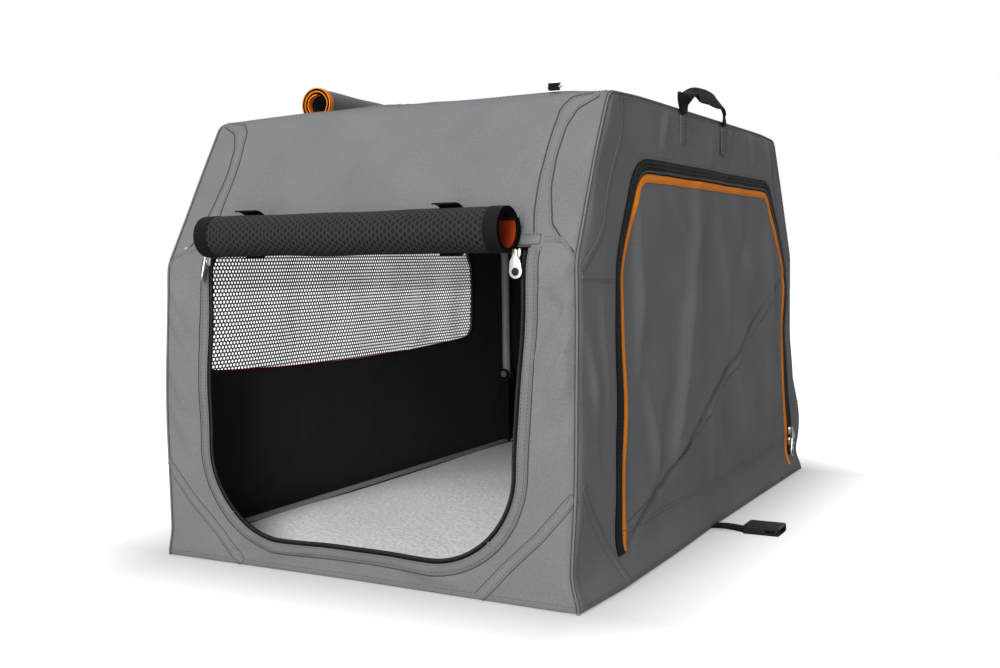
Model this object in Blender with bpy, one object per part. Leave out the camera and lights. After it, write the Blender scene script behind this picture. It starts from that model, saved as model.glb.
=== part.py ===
# Soft folding crate for a dog: a fabric cover carried by two side frames of bent steel tube.
# Metres, +Z up. The origin is the middle of the base on the floor, and the front door faces -Y.
# The side frames fold inwards on pins at the base, and each carries half of the roof.
import math

import bmesh
import bpy
from mathutils import Vector

# Whole crate
crate_width = 0.480
crate_depth = 0.770
crate_height = 0.480
knee_height = 0.316
roof_inset = 0.090

# Fabric and clearances
cloth = 0.0030
webbing = 0.0020
gap = 0.0003
roof_gap = 0.0005
overrun = 0.0400

# Steel frame
tube_radius = 0.0065
tube_bend = 0.030
frame_side_inset = 0.014
frame_end_inset = 0.015
right_pivot_height = 0.045
left_pivot_height = 0.128
top_bar_radius = 0.0060
top_bar_place = 0.250
tube_sides = 16

# Knuckles that turn on the top tubes, and where the top bars end, either side of the middle
knuckle_wall = 0.0027
knuckle_length = 0.024
knuckle_boss = 0.012
knuckle_boss_height = 0.013
knuckle_roof_gap = 0.0008
bar_end = 0.018

# Corner brackets and their pins
bracket_cheek = 0.0030
bracket_side_gap = 0.0005
bracket_half_width = 0.0085
bracket_foot_drop = 0.0110
pin_radius = 0.0030
pin_head_radius = 0.0050
pin_head = 0.0012
tube_tail = 0.0075

# Base
board_thickness = 0.0040
pad_thickness = 0.0190
pad_edge_height = 0.0100
pad_side_gap = 0.0055
pad_pull_share = 0.018
pad_columns = 12
pad_rows = 18

# Front door opening, its zip and the rolled mesh door
front_half_width = 0.186
front_sill_height = 0.034
front_opening_rise = 0.016
front_corner = 0.085
front_zip_width = 0.0060
front_zip_rise = 0.009
zip_thickness = 0.0018
front_roll_radius = 0.0240
front_roll_core = 0.0155
front_roll_rise = 0.029
front_roll_left = 0.168
front_roll_right = 0.183
roll_turns = 1.5
roll_points = 24
roll_strap_width = 0.025
roll_strap_thickness = 0.0015
roll_strap_left = 0.117
roll_strap_right = 0.117

# Zip sliders and pull tabs
slider_width = 0.0090
slider_length = 0.0120
slider_depth = 0.0050
pull_width = 0.0085
pull_length = 0.030
pull_thickness = 0.0015
pull_hole_radius = 0.0022
pull_top_share = 0.25
front_slider_left_drop = 0.002
front_slider_right_rise = 0.003
right_slider_low = 0.0570
right_slider_high = 0.0730

# Side door in the right wall
door_front = 0.275
door_rear = 0.335
door_shoulder_height = 0.305
door_top_height = 0.402
door_front_shoulder = 0.050
door_rear_shoulder = 0.090
door_corner = 0.045
door_foot_margin = 0.0055
door_binding = 0.0080
door_zip_width = 0.0140

# Mesh window in the left wall, with its cover rolled up on the roof
window_front = 0.330
window_rear = 0.275
window_bottom = 0.197
window_top = 0.402
window_shoulder_height = 0.305
window_front_shoulder = 0.090
window_rear_shoulder = 0.050
window_corner = 0.020
mesh_thickness = 0.0010
cover_radius = 0.0220
cover_core = 0.0130
cover_length = 0.400
cover_front_x = 0.169
cover_rear_x = 0.222
flap_bottom = 0.410
flap_half_length = 0.195
flap_top_drop = 0.0005

# Carry handles on the top edges of the side walls
handle_front = 0.103
handle_rear = 0.062
handle_top = 0.506
handle_foot = 0.472
handle_band = 0.0180
handle_strap = 0.0025
handle_corner = 0.014
handle_anchor_bottom = 0.440

# D-ring on the top edge of the front wall
ring_place = 0.180
ring_width = 0.014
ring_height = 0.0098
ring_lean = math.radians(60)
ring_wire = 0.0012
ring_tab_width = 0.010
ring_tab_depth = 0.0060
ring_tab_wall = 0.0018
ring_sides = 8

# Closing straps with a side-release buckle, socket half on the right and plug half on the left
strap_place = -0.020
strap_width = 0.025
strap_length = 0.0495
buckle_width = 0.034
buckle_length = 0.0425
buckle_height = 0.0100
buckle_wall = 0.0020
buckle_mouth_depth = 0.028
buckle_window_length = 0.011
prong_width = 0.0060
prong_base = 0.0115
plug_height = 0.0050
plug_margin = 0.0028

half_width = crate_width / 2
half_depth = crate_depth / 2
front_opening_top = knee_height + front_opening_rise
front_zip_top = knee_height + front_zip_rise
front_roll_height = knee_height + front_roll_rise
frame_x = half_width - frame_side_inset
frame_y = half_depth - frame_end_inset
knuckle_radius = tube_radius + knuckle_wall + gap
top_tube_height = crate_height - cloth - knuckle_radius - knuckle_roof_gap
board_top = cloth + gap + board_thickness
base_seat = board_top + gap
slope = Vector((roof_inset, crate_height - knee_height)).normalized()
inward = Vector((slope.y, -slope.x))

# Colours as base colour, roughness and metallic
finishes = {
    "grey_cloth": ((0.22, 0.23, 0.25), 0.85, 0.0),
    "black_cloth": ((0.02, 0.02, 0.022), 0.9, 0.0),
    "black_mesh": ((0.03, 0.03, 0.03), 0.8, 0.0),
    "orange_binding": ((0.85, 0.25, 0.03), 0.7, 0.0),
    "steel": ((0.55, 0.56, 0.58), 0.3, 1.0),
    "zip_metal": ((0.8, 0.78, 0.74), 0.3, 1.0),
    "zip_tape": ((0.015, 0.015, 0.016), 0.6, 0.0),
    "black_plastic": ((0.02, 0.02, 0.02), 0.45, 0.0),
    "fleece": ((0.75, 0.75, 0.74), 0.95, 0.0),
    "board": ((0.05, 0.05, 0.05), 0.7, 0.0),
    "webbing": ((0.02, 0.02, 0.02), 0.75, 0.0),
}


def clear_scene():
    for item in list(bpy.data.objects):
        bpy.data.objects.remove(item, do_unlink=True)


def add_object(name, shape, finish, smooth=False):
    bmesh.ops.recalc_face_normals(shape, faces=shape.faces)
    mesh = bpy.data.meshes.new(name)
    shape.to_mesh(mesh)
    shape.free()
    item = bpy.data.objects.new(name, mesh)
    bpy.context.scene.collection.objects.link(item)
    colour, roughness, metallic = finishes[finish]
    material = bpy.data.materials.new(name + "_" + finish)
    material.use_nodes = True
    shader = material.node_tree.nodes["Principled BSDF"]
    shader.inputs["Base Color"].default_value = (*colour, 1.0)
    shader.inputs["Roughness"].default_value = roughness
    shader.inputs["Metallic"].default_value = metallic
    mesh.materials.append(material)
    if smooth:
        mesh.shade_smooth()
        mesh.set_sharp_from_angle(angle=math.radians(40))
    return item


def add_helper(name, shape):
    bmesh.ops.recalc_face_normals(shape, faces=shape.faces)
    mesh = bpy.data.meshes.new(name)
    shape.to_mesh(mesh)
    shape.free()
    item = bpy.data.objects.new(name, mesh)
    bpy.context.scene.collection.objects.link(item)
    item.hide_render = True
    item.display_type = "WIRE"
    return item


def combine(item, helper, operation="DIFFERENCE"):
    modifier = item.modifiers.new(helper.name, "BOOLEAN")
    modifier.operation = operation
    modifier.solver = "EXACT"
    modifier.object = helper


def placed(axis, first, second, along):
    # a point from its two places across the axis and its place along it
    if axis == "X":
        return Vector((along, first, second))
    if axis == "Y":
        return Vector((first, along, second))
    return Vector((first, second, along))


def prism(shape, outline, axis, low, high):
    lower = [shape.verts.new(placed(axis, a, b, low)) for a, b in outline]
    upper = [shape.verts.new(placed(axis, a, b, high)) for a, b in outline]
    shape.faces.new(lower)
    shape.faces.new(upper)
    count = len(outline)
    for i in range(count):
        j = (i + 1) % count
        shape.faces.new((lower[i], lower[j], upper[j], upper[i]))
    return shape


def box(shape, low, high):
    outline = [(low[0], low[1]), (high[0], low[1]), (high[0], high[1]), (low[0], high[1])]
    return prism(shape, outline, "Z", low[2], high[2])


def rings(shape, centres, radii, across, closed=False, sides=tube_sides):
    # a round body through the centres, which lie in a plane square to the vector across
    count = len(centres)
    loops = []
    for i, (centre, radius) in enumerate(zip(centres, radii)):
        before = centres[(i - 1) % count] if closed or i > 0 else centre
        after = centres[(i + 1) % count] if closed or i < count - 1 else centre
        along = after - before
        if along.length == 0:
            along = centres[-1] - centres[0]
        normal = across.cross(along).normalized()
        loop = []
        for k in range(sides):
            turn = 2 * math.pi * k / sides
            loop.append(shape.verts.new(centre + radius * (math.cos(turn) * across + math.sin(turn) * normal)))
        loops.append(loop)
    pairs = list(zip(loops, loops[1:]))
    if closed:
        pairs.append((loops[-1], loops[0]))
    else:
        shape.faces.new(loops[0])
        shape.faces.new(loops[-1])
    for one, two in pairs:
        for k in range(sides):
            m = (k + 1) % sides
            shape.faces.new((one[k], one[m], two[m], two[k]))
    return shape


def rod(shape, start, end, radius, across, sides=tube_sides):
    return rings(shape, [start, end], [radius, radius], across, sides=sides)


def rounded(points, radius, steps=5, closed=False):
    # a polyline with each inner corner replaced by an arc of the given radius
    count = len(points)
    result = []
    for i, corner in enumerate(points):
        if not closed and i in (0, count - 1):
            result.append(Vector(corner))
            continue
        corner = Vector(corner)
        back = (Vector(points[i - 1]) - corner).normalized()
        ahead = (Vector(points[(i + 1) % count]) - corner).normalized()
        half = back.angle(ahead) / 2
        reach = radius / math.tan(half)
        centre = corner + (back + ahead).normalized() * (radius / math.sin(half))
        start, end = corner + back * reach - centre, corner + ahead * reach - centre
        for k in range(steps + 1):
            share = k / steps
            bend = start.lerp(end, share).normalized() * radius
            result.append(centre + bend)
    return result


def shifted(points, distance, closed=False):
    # the polyline moved sideways, to the left of its own direction
    count = len(points)
    lines = []
    for i in range(count if closed else count - 1):
        a, b = Vector(points[i]), Vector(points[(i + 1) % count])
        along = (b - a).normalized()
        side = Vector((-along.y, along.x)) * distance
        lines.append((a + side, along))
    result = []
    for i in range(count):
        if not closed and i == 0:
            result.append(lines[0][0])
        elif not closed and i == count - 1:
            a, b = Vector(points[i - 1]), Vector(points[i])
            result.append(lines[-1][0] + (b - a).length * lines[-1][1])
        else:
            (p, u), (q, v) = lines[i - 1], lines[i % len(lines)]
            turn = u.x * v.y - u.y * v.x
            if turn == 0:
                result.append(q)
                continue
            step = ((q.x - p.x) * v.y - (q.y - p.y) * v.x) / turn
            result.append(p + step * u)
    return result


def profile(side_offset, slope_offset, top_offset):
    # knee and top corner of the end profile, as distance from the middle and height
    start = Vector((-half_depth, knee_height)) + inward * slope_offset
    knee_y = -half_depth + side_offset
    knee = start + slope * ((knee_y - start.x) / slope.x)
    top = start + slope * ((crate_height - top_offset - start.y) / slope.y)
    return knee, top


def end_wall_outline(facing):
    # facing is 1 for the front wall and -1 for the rear wall
    knee, top = profile(0, 0, 0)
    inner_knee, inner_top = profile(cloth, cloth, 0)
    points = [(-half_depth, 0), knee, top, inner_top, inner_knee, (-half_depth + cloth, 0)]
    return [(facing * y, z) for y, z in points]


def side_wall_outline(bottom):
    edge = cloth + gap
    knee, top = profile(edge, edge, edge)
    half = [(knee.x, bottom), knee, top]
    return half + [(-y, z) for y, z in reversed(half)]


def sill_path(half, bottom, top, corner):
    # down the left side, round the sill and up the right side
    return rounded([(-half, top), (-half, bottom), (half, bottom), (half, top)], corner, steps=7)


def make_base():
    knee, _ = profile(cloth + gap, cloth + gap, cloth)
    strip = half_width - cloth
    tray = [(-half_width, 0), (half_width, 0), (half_width, right_pivot_height)]
    tray += [(strip, right_pivot_height), (strip, cloth), (-strip, cloth)]
    tray += [(-strip, left_pivot_height), (-half_width, left_pivot_height)]
    add_object("floor_cover", prism(bmesh.new(), tray, "Y", knee.x, -knee.x), "grey_cloth")
    side = strip - gap
    low, high = (-side, knee.x, cloth + gap), (side, -knee.x, board_top)
    add_object("floor_board", box(bmesh.new(), low, high), "board")
    make_pad()
    make_base_tubes()
    for side_name, side, pivot in (("left", -1, left_pivot_height), ("right", 1, right_pivot_height)):
        for end_name, end in (("front", -1), ("rear", 1)):
            corner = end_name + "_" + side_name
            make_bracket("corner_bracket_" + corner, side * frame_x, end * frame_y, pivot)
            make_pin("pivot_pin_" + corner, Vector((side * frame_x, end * frame_y, pivot)))


def make_pad():
    half_x = frame_x - tube_radius - pad_side_gap
    half_y = frame_y - tube_radius - pad_side_gap
    shape = bmesh.new()
    layers = []
    for top in (True, False):
        grid = []
        for j in range(pad_rows + 1):
            v = 2 * j / pad_rows - 1
            row = []
            for i in range(pad_columns + 1):
                u = 2 * i / pad_columns - 1
                x = half_x * u * (1 - pad_pull_share * (1 - v ** 4))
                y = half_y * v * (1 - pad_pull_share * (1 - u ** 4))
                crown = ((1 - u ** 8) * (1 - v ** 8)) ** 0.5
                z = base_seat + pad_edge_height + (pad_thickness - pad_edge_height) * crown
                row.append(shape.verts.new((x, y, z if top else base_seat)))
            grid.append(row)
        layers.append(grid)
    for grid in layers:
        for j in range(pad_rows):
            for i in range(pad_columns):
                shape.faces.new((grid[j][i], grid[j][i + 1], grid[j + 1][i + 1], grid[j + 1][i]))
    upper, lower = layers
    rim = [(0, i) for i in range(pad_columns)] + [(j, pad_columns) for j in range(pad_rows)]
    rim += [(pad_rows, i) for i in range(pad_columns, 0, -1)] + [(j, 0) for j in range(pad_rows, 0, -1)]
    for k, (j, i) in enumerate(rim):
        n, m = rim[(k + 1) % len(rim)]
        shape.faces.new((upper[j][i], upper[n][m], lower[n][m], lower[j][i]))
    add_object("bed_pad", shape, "fleece", smooth=True)


def make_base_tubes():
    height = base_seat + tube_radius
    reach_x = frame_x - bracket_half_width - gap
    reach_y = frame_y - tube_radius - bracket_side_gap - bracket_cheek - gap
    for name, end in (("front", -1), ("rear", 1)):
        start, stop = Vector((-reach_x, end * frame_y, height)), Vector((reach_x, end * frame_y, height))
        tube = rod(bmesh.new(), start, stop, tube_radius, Vector((0, 0, 1)))
        add_object("base_tube_" + name, tube, "steel", smooth=True)
    for name, side in (("left", -1), ("right", 1)):
        start, stop = Vector((side * frame_x, -reach_y, height)), Vector((side * frame_x, reach_y, height))
        tube = rod(bmesh.new(), start, stop, tube_radius, Vector((0, 0, 1)))
        add_object("base_tube_" + name, tube, "steel", smooth=True)


def make_bracket(name, x, y, pivot):
    ear = [(x - bracket_half_width, base_seat), (x + bracket_half_width, base_seat)]
    for k in range(9):
        turn = math.pi * k / 8
        ear.append((x + bracket_half_width * math.cos(turn), pivot + bracket_half_width * math.sin(turn)))
    slot = tube_radius + bracket_side_gap
    outer = slot + bracket_cheek
    bracket = add_object(name, prism(bmesh.new(), ear, "Y", y - outer, y + outer), "black_plastic")
    low = (x - overrun, y - slot, pivot - bracket_foot_drop)
    high = (x + overrun, y + slot, pivot + overrun)
    combine(bracket, add_helper(name + "_slot", box(bmesh.new(), low, high)))
    start, stop = Vector((x, y - overrun, pivot)), Vector((x, y + overrun, pivot))
    hole = rod(bmesh.new(), start, stop, pin_radius + gap, Vector((0, 0, 1)))
    combine(bracket, add_helper(name + "_pin_hole", hole))


def make_pin(name, centre):
    shape = bmesh.new()
    cheek = tube_radius + bracket_side_gap + bracket_cheek + gap
    places = (-cheek - pin_head, -cheek, -cheek, cheek, cheek, cheek + pin_head)
    radii = (pin_head_radius, pin_head_radius, pin_radius, pin_radius, pin_head_radius, pin_head_radius)
    centres = [centre + Vector((0, place, 0)) for place in places]
    across = Vector((0, 0, 1))
    normal = across.cross(Vector((0, 1, 0)))
    loops = []
    for middle, radius in zip(centres, radii):
        loop = []
        for k in range(tube_sides):
            turn = 2 * math.pi * k / tube_sides
            loop.append(shape.verts.new(middle + radius * (math.cos(turn) * across + math.sin(turn) * normal)))
        loops.append(loop)
    shape.faces.new(loops[0])
    shape.faces.new(loops[-1])
    for one, two in zip(loops, loops[1:]):
        for k in range(tube_sides):
            m = (k + 1) % tube_sides
            shape.faces.new((one[k], one[m], two[m], two[k]))
    add_object(name, shape, "steel", smooth=True)


def make_frame_tube(name, x, pivot):
    knee, top = profile(frame_end_inset, cloth + gap + tube_radius, crate_height - top_tube_height)
    corners = [(-frame_y, pivot - tube_tail), (-frame_y, knee.y), (top.x, top.y)]
    corners += [(-y, z) for y, z in reversed(corners)]
    path = [Vector((x, y, z)) for y, z in rounded(corners, tube_bend)]
    tube = rings(bmesh.new(), path, [tube_radius] * len(path), Vector((1, 0, 0)))
    frame = add_object(name, tube, "steel", smooth=True)
    start, stop = Vector((x, -frame_y - overrun, pivot)), Vector((x, frame_y + overrun, pivot))
    hole = rod(bmesh.new(), start, stop, pin_radius + gap, Vector((0, 0, 1)))
    combine(frame, add_helper(name + "_pin_hole", hole))


def make_front_wall():
    wall = prism(bmesh.new(), end_wall_outline(1), "X", -half_width, half_width)
    wall = add_object("front_wall", wall, "grey_cloth")
    edge = front_half_width + front_zip_width + gap
    sill = front_sill_height - front_zip_width - gap
    corner = front_corner + front_zip_width + gap
    opening = sill_path(edge, sill, front_opening_top, corner)
    cutter = prism(bmesh.new(), opening, "Y", -half_depth - overrun, -half_depth + overrun)
    combine(wall, add_helper("front_opening", cutter))
    outer = sill_path(edge - gap, sill + gap, front_zip_top, corner - gap)
    inner = sill_path(front_half_width, front_sill_height, front_zip_top, front_corner)
    band = prism(bmesh.new(), outer + inner[::-1], "Y", -half_depth, -half_depth + zip_thickness)
    add_object("front_zip", band, "zip_tape")


def make_rear_wall():
    wall = prism(bmesh.new(), end_wall_outline(-1), "X", -half_width, half_width)
    add_object("rear_wall", wall, "grey_cloth")


def spiral_outline(outer_radius, core_radius, sheet, start_turn, direction):
    # a wound sheet: the outer side from the core outwards, then the inner side back
    pitch = (outer_radius - core_radius - sheet) / roll_turns
    print("gap between turns", round((pitch - sheet) * 1000, 2), "mm")
    count = int(roll_turns * roll_points)
    outer, inner = [], []
    for k in range(count + 1):
        turn = start_turn + direction * 2 * math.pi * k / roll_points
        radius = core_radius + sheet + pitch * k / roll_points
        outer.append((radius * math.cos(turn), radius * math.sin(turn)))
        inner.append(((radius - sheet) * math.cos(turn), (radius - sheet) * math.sin(turn)))
    return outer + inner[::-1]


def front_roll_centre():
    # the roll hangs in front of the slope, a strap's thickness and two gaps away from it
    reach = front_roll_radius + roll_strap_thickness + 2 * gap
    y = -half_depth - (reach - front_roll_rise * slope.x) / slope.y
    return y, front_roll_height


def make_front_roll():
    y, z = front_roll_centre()
    outline = spiral_outline(front_roll_radius, front_roll_core, cloth, math.radians(110), 1)
    outline = [(y + a, z + b) for a, b in outline]
    roll = prism(bmesh.new(), outline, "X", -front_roll_left, front_roll_right)
    add_object("front_door_roll", roll, "black_mesh", smooth=True)
    # each strap comes round the roll's back from below and ends over its top
    inside = front_roll_radius + gap
    outside = inside + roll_strap_thickness
    turns = [math.radians(-70 + 190 * k / 20) for k in range(21)]
    arc = [(y + outside * math.cos(turn), z + outside * math.sin(turn)) for turn in turns]
    arc += [(y + inside * math.cos(turn), z + inside * math.sin(turn)) for turn in reversed(turns)]
    for name, place in (("left", -roll_strap_left), ("right", roll_strap_right)):
        low, high = place - roll_strap_width / 2, place + roll_strap_width / 2
        add_object("roll_strap_" + name, prism(bmesh.new(), arc, "X", low, high), "webbing", smooth=True)


def slider_body(shape, centre, normal):
    # a tapered slider with its flat back on the zip, standing out along normal
    across = Vector((0, 0, 1)).cross(normal)
    half, length = slider_width / 2, slider_length / 2
    outline = [(-half, length), (-half, 0), (-half / 2, -length), (half / 2, -length), (half, 0), (half, length)]
    back, front = [], []
    for a, b in outline:
        foot = centre + across * a + Vector((0, 0, b))
        back.append(shape.verts.new(foot))
        front.append(shape.verts.new(foot + normal * slider_depth))
    shape.faces.new(back)
    shape.faces.new(front)
    for i in range(len(outline)):
        j = (i + 1) % len(outline)
        shape.faces.new((back[i], back[j], front[j], front[i]))
    return shape


def make_slider(name, centre, normal):
    add_object(name, slider_body(bmesh.new(), centre, normal), "zip_metal")


def make_pull(name, centre, normal):
    # a flat tab that hangs from the slider, with a round lower end and a hole in it
    across = Vector((0, 0, 1)).cross(normal)
    half = pull_width / 2
    top = slider_length * pull_top_share
    outline = [(-half / 2, 0), (half / 2, 0)]
    middle = -pull_length + half
    for k in range(9):
        turn = math.pi * k / 8
        outline.append((half * math.cos(turn), middle - half * math.sin(turn)))
    shape = bmesh.new()
    back, front = [], []
    for a, b in outline:
        foot = centre + across * a + Vector((0, 0, top + b)) + normal * (slider_depth + gap)
        back.append(shape.verts.new(foot))
        front.append(shape.verts.new(foot + normal * pull_thickness))
    shape.faces.new(back)
    shape.faces.new(front)
    for i in range(len(outline)):
        j = (i + 1) % len(outline)
        shape.faces.new((back[i], back[j], front[j], front[i]))
    pull = add_object(name, shape, "zip_metal")
    eye = centre + Vector((0, 0, top + middle))
    hole = rod(bmesh.new(), eye, eye + normal * overrun, pull_hole_radius, Vector((0, 0, 1)), sides=10)
    combine(pull, add_helper(name + "_hole", hole))


def make_front_sliders():
    normal = Vector((0, -1, 0))
    heights = {-1: knee_height - front_slider_left_drop, 1: knee_height + front_slider_right_rise}
    for name, side in (("left", -1), ("right", 1)):
        place = side * (front_half_width + front_zip_width / 2)
        centre = Vector((place, -half_depth - gap, heights[side]))
        make_slider("front_slider_" + name, centre, normal)
        make_pull("front_pull_" + name, centre, normal)


def door_corners():
    foot = right_pivot_height + door_foot_margin
    return [
        (-door_front, foot),
        (-door_front, door_shoulder_height),
        (-door_front + door_front_shoulder, door_top_height),
        (door_rear - door_rear_shoulder, door_top_height),
        (door_rear, door_shoulder_height),
        (door_rear, foot),
    ]


def door_path(offset):
    # the arch of the side door, moved outwards by offset
    return rounded(shifted(door_corners(), offset), door_corner + offset)


def make_side_wall(name, side, pivot):
    outline = side_wall_outline(pivot + gap)
    inner, outer = side * (half_width - cloth), side * half_width
    return add_object(name, prism(bmesh.new(), outline, "X", inner, outer), "grey_cloth")


def make_right_side():
    make_frame_tube("right_frame_tube", frame_x, right_pivot_height)
    wall = make_side_wall("right_wall", 1, right_pivot_height)
    inner, outer = half_width - cloth, half_width
    lower_edge = Vector((0, gap))
    cut = [Vector(p) for p in door_path(door_zip_width + gap)]
    cut[0] -= lower_edge
    cut[-1] -= lower_edge
    combine(wall, add_helper("right_door_opening", prism(bmesh.new(), cut, "X", inner - overrun, outer + overrun)))
    band = door_path(door_zip_width) + door_path(gap)[::-1]
    add_object("right_zip", prism(bmesh.new(), band, "X", outer - zip_thickness, outer), "zip_tape")
    binding = door_path(0) + door_path(-door_binding)[::-1]
    add_object("right_door_binding", prism(bmesh.new(), binding, "X", inner, outer), "orange_binding")
    panel = door_path(-door_binding - gap)
    add_object("right_door", prism(bmesh.new(), panel, "X", inner, outer), "grey_cloth")
    normal = Vector((1, 0, 0))
    for name, height in (("lower", right_slider_low), ("upper", right_slider_high)):
        centre = Vector((outer + gap, door_rear + door_zip_width / 2, height))
        make_slider("right_slider_" + name, centre, normal)
    centre = Vector((outer + gap, door_rear + door_zip_width / 2, right_slider_high))
    make_pull("right_pull", centre, normal)
    make_roof_half("right", 1)
    make_handle("right", 1, gap)


def window_path(offset):
    corners = [
        (-window_front, window_bottom),
        (-window_front, window_shoulder_height),
        (-window_front + window_front_shoulder, window_top),
        (window_rear - window_rear_shoulder, window_top),
        (window_rear, window_shoulder_height),
        (window_rear, window_bottom),
    ]
    return rounded(shifted(corners, offset, closed=True), window_corner, closed=True)


def make_left_side():
    make_frame_tube("left_frame_tube", -frame_x, left_pivot_height)
    wall = make_side_wall("left_wall", -1, left_pivot_height)
    outer = -half_width
    cutter = prism(bmesh.new(), window_path(0), "X", outer - overrun, outer + overrun)
    combine(wall, add_helper("left_window_opening", cutter))
    middle = outer + cloth / 2
    low, high = middle - mesh_thickness / 2, middle + mesh_thickness / 2
    add_object("left_window_mesh", prism(bmesh.new(), window_path(-gap), "X", low, high), "black_mesh")
    low = (outer - gap - cloth, -flap_half_length, flap_bottom)
    high = (outer - gap, flap_half_length, crate_height - flap_top_drop)
    add_object("cover_flap", box(bmesh.new(), low, high), "grey_cloth")
    make_cover_roll()
    make_roof_half("left", -1)
    make_handle("left", -1, gap + cloth + gap)


def make_cover_roll():
    # the roll lies on the roof at a slant, with its front end further in than its rear end
    height = crate_height + gap + cover_radius
    half = cover_length / 2
    outline = spiral_outline(cover_radius, cover_core, cloth, math.radians(90), 1)
    shape = bmesh.new()
    front = [shape.verts.new((-cover_front_x + a, -half, height + b)) for a, b in outline]
    rear = [shape.verts.new((-cover_rear_x + a, half, height + b)) for a, b in outline]
    shape.faces.new(front)
    shape.faces.new(rear)
    for i in range(len(outline)):
        j = (i + 1) % len(outline)
        shape.faces.new((front[i], front[j], rear[j], rear[i]))
    add_object("cover_roll", shape, "grey_cloth", smooth=True)


def make_roof_half(name, side):
    _, inner_top = profile(cloth, cloth, 0)
    depth = -inner_top.x - gap
    # the inner edge slants back, so that each half drops clear of the other one
    outline = [(side * half_width, crate_height - cloth), (side * half_width, crate_height)]
    outline += [(side * (roof_gap + cloth), crate_height), (side * roof_gap, crate_height - cloth)]
    add_object(name + "_roof", prism(bmesh.new(), outline, "Y", -depth, depth), "grey_cloth")
    across = Vector((0, 0, 1))
    boss_end = frame_x - knuckle_radius - knuckle_boss
    for end_name, end in (("front", -1), ("rear", 1)):
        place = end * top_bar_place
        part_name = name + "_top_{}_" + end_name
        centre = Vector((side * frame_x, place, top_tube_height))
        half = Vector((0, knuckle_length / 2, 0))
        beyond = Vector((0, overrun, 0))
        knuckle = rod(bmesh.new(), centre - half, centre + half, knuckle_radius, across)
        knuckle = add_object(part_name.format("knuckle"), knuckle, "black_plastic", smooth=True)
        reach = knuckle_boss_height / 2
        xs = sorted((side * boss_end, side * (frame_x - tube_radius - 2 * gap)))
        low = (xs[0], place - reach, top_tube_height - reach)
        high = (xs[1], place + reach, top_tube_height + reach)
        combine(knuckle, add_helper(part_name.format("boss"), box(bmesh.new(), low, high)), "UNION")
        bore = rod(bmesh.new(), centre - beyond, centre + beyond, tube_radius + gap, across)
        combine(knuckle, add_helper(part_name.format("bore"), bore))
        start = Vector((side * (boss_end - gap), place, top_tube_height))
        stop = Vector((side * bar_end, place, top_tube_height))
        bar = rod(bmesh.new(), start, stop, top_bar_radius, across)
        add_object(part_name.format("bar"), bar, "steel", smooth=True)


def make_handle(name, side, standoff):
    # an arch of webbing that stands on the wall's top edge, and the two patches sewn to the wall
    arch = [(-handle_front, handle_foot), (-handle_front, handle_top)]
    arch += [(handle_rear, handle_top), (handle_rear, handle_foot)]
    inner = shifted(arch, -handle_band)
    outline = rounded(arch, handle_corner) + inner[::-1]
    near = half_width + standoff + gap
    xs = sorted((side * near, side * (near + handle_strap)))
    add_object(name + "_handle", prism(bmesh.new(), outline, "X", *xs), "webbing")
    near = half_width + standoff
    xs = sorted((side * near, side * (near + webbing)))
    for foot, low in (("front", -handle_front), ("rear", handle_rear - handle_band)):
        corner = (xs[1], low + handle_band, handle_foot - gap)
        patch = box(bmesh.new(), (xs[0], low, handle_anchor_bottom), corner)
        add_object(name + "_handle_patch_" + foot, patch, "webbing")


def make_ring():
    knee, top = profile(0, 0, 0)
    y = top.x + ring_tab_depth / 4
    bar_height = crate_height + gap + ring_wire + gap + ring_tab_wall
    half = ring_width / 2
    # the ring lies back over the roof
    rise = Vector((0, math.sin(ring_lean), math.cos(ring_lean)))
    path = [Vector((ring_place - half, y, bar_height))]
    for k in range(11):
        turn = math.pi * (1 - k / 10)
        lift = ring_wire + ring_height * math.sin(turn)
        path.append(Vector((ring_place + half * math.cos(turn), y, bar_height)) + rise * lift)
    path.append(Vector((ring_place + half, y, bar_height)))
    face = Vector((0, math.cos(ring_lean), -math.sin(ring_lean)))
    ring = rings(bmesh.new(), path, [ring_wire] * len(path), face, closed=True, sides=ring_sides)
    add_object("top_ring", ring, "steel", smooth=True)
    reach = ring_wire + gap + ring_tab_wall
    low = (ring_place - ring_tab_width / 2, y - ring_tab_depth / 2, crate_height + gap)
    high = (ring_place + ring_tab_width / 2, y + ring_tab_depth / 2, bar_height + reach)
    tab = add_object("top_ring_tab", box(bmesh.new(), low, high), "webbing")
    start = Vector((ring_place - overrun, y, bar_height))
    stop = Vector((ring_place + overrun, y, bar_height))
    bore = rod(bmesh.new(), start, stop, ring_wire + gap, Vector((0, 0, 1)), sides=12)
    combine(tab, add_helper("top_ring_bore", bore))


def strap_box(shape, side):
    start = half_width + 2 * gap
    xs = sorted((side * start, side * (start + strap_length)))
    low = (xs[0], strap_place - strap_width / 2, 0)
    high = (xs[1], strap_place + strap_width / 2, webbing)
    return box(shape, low, high)


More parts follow.
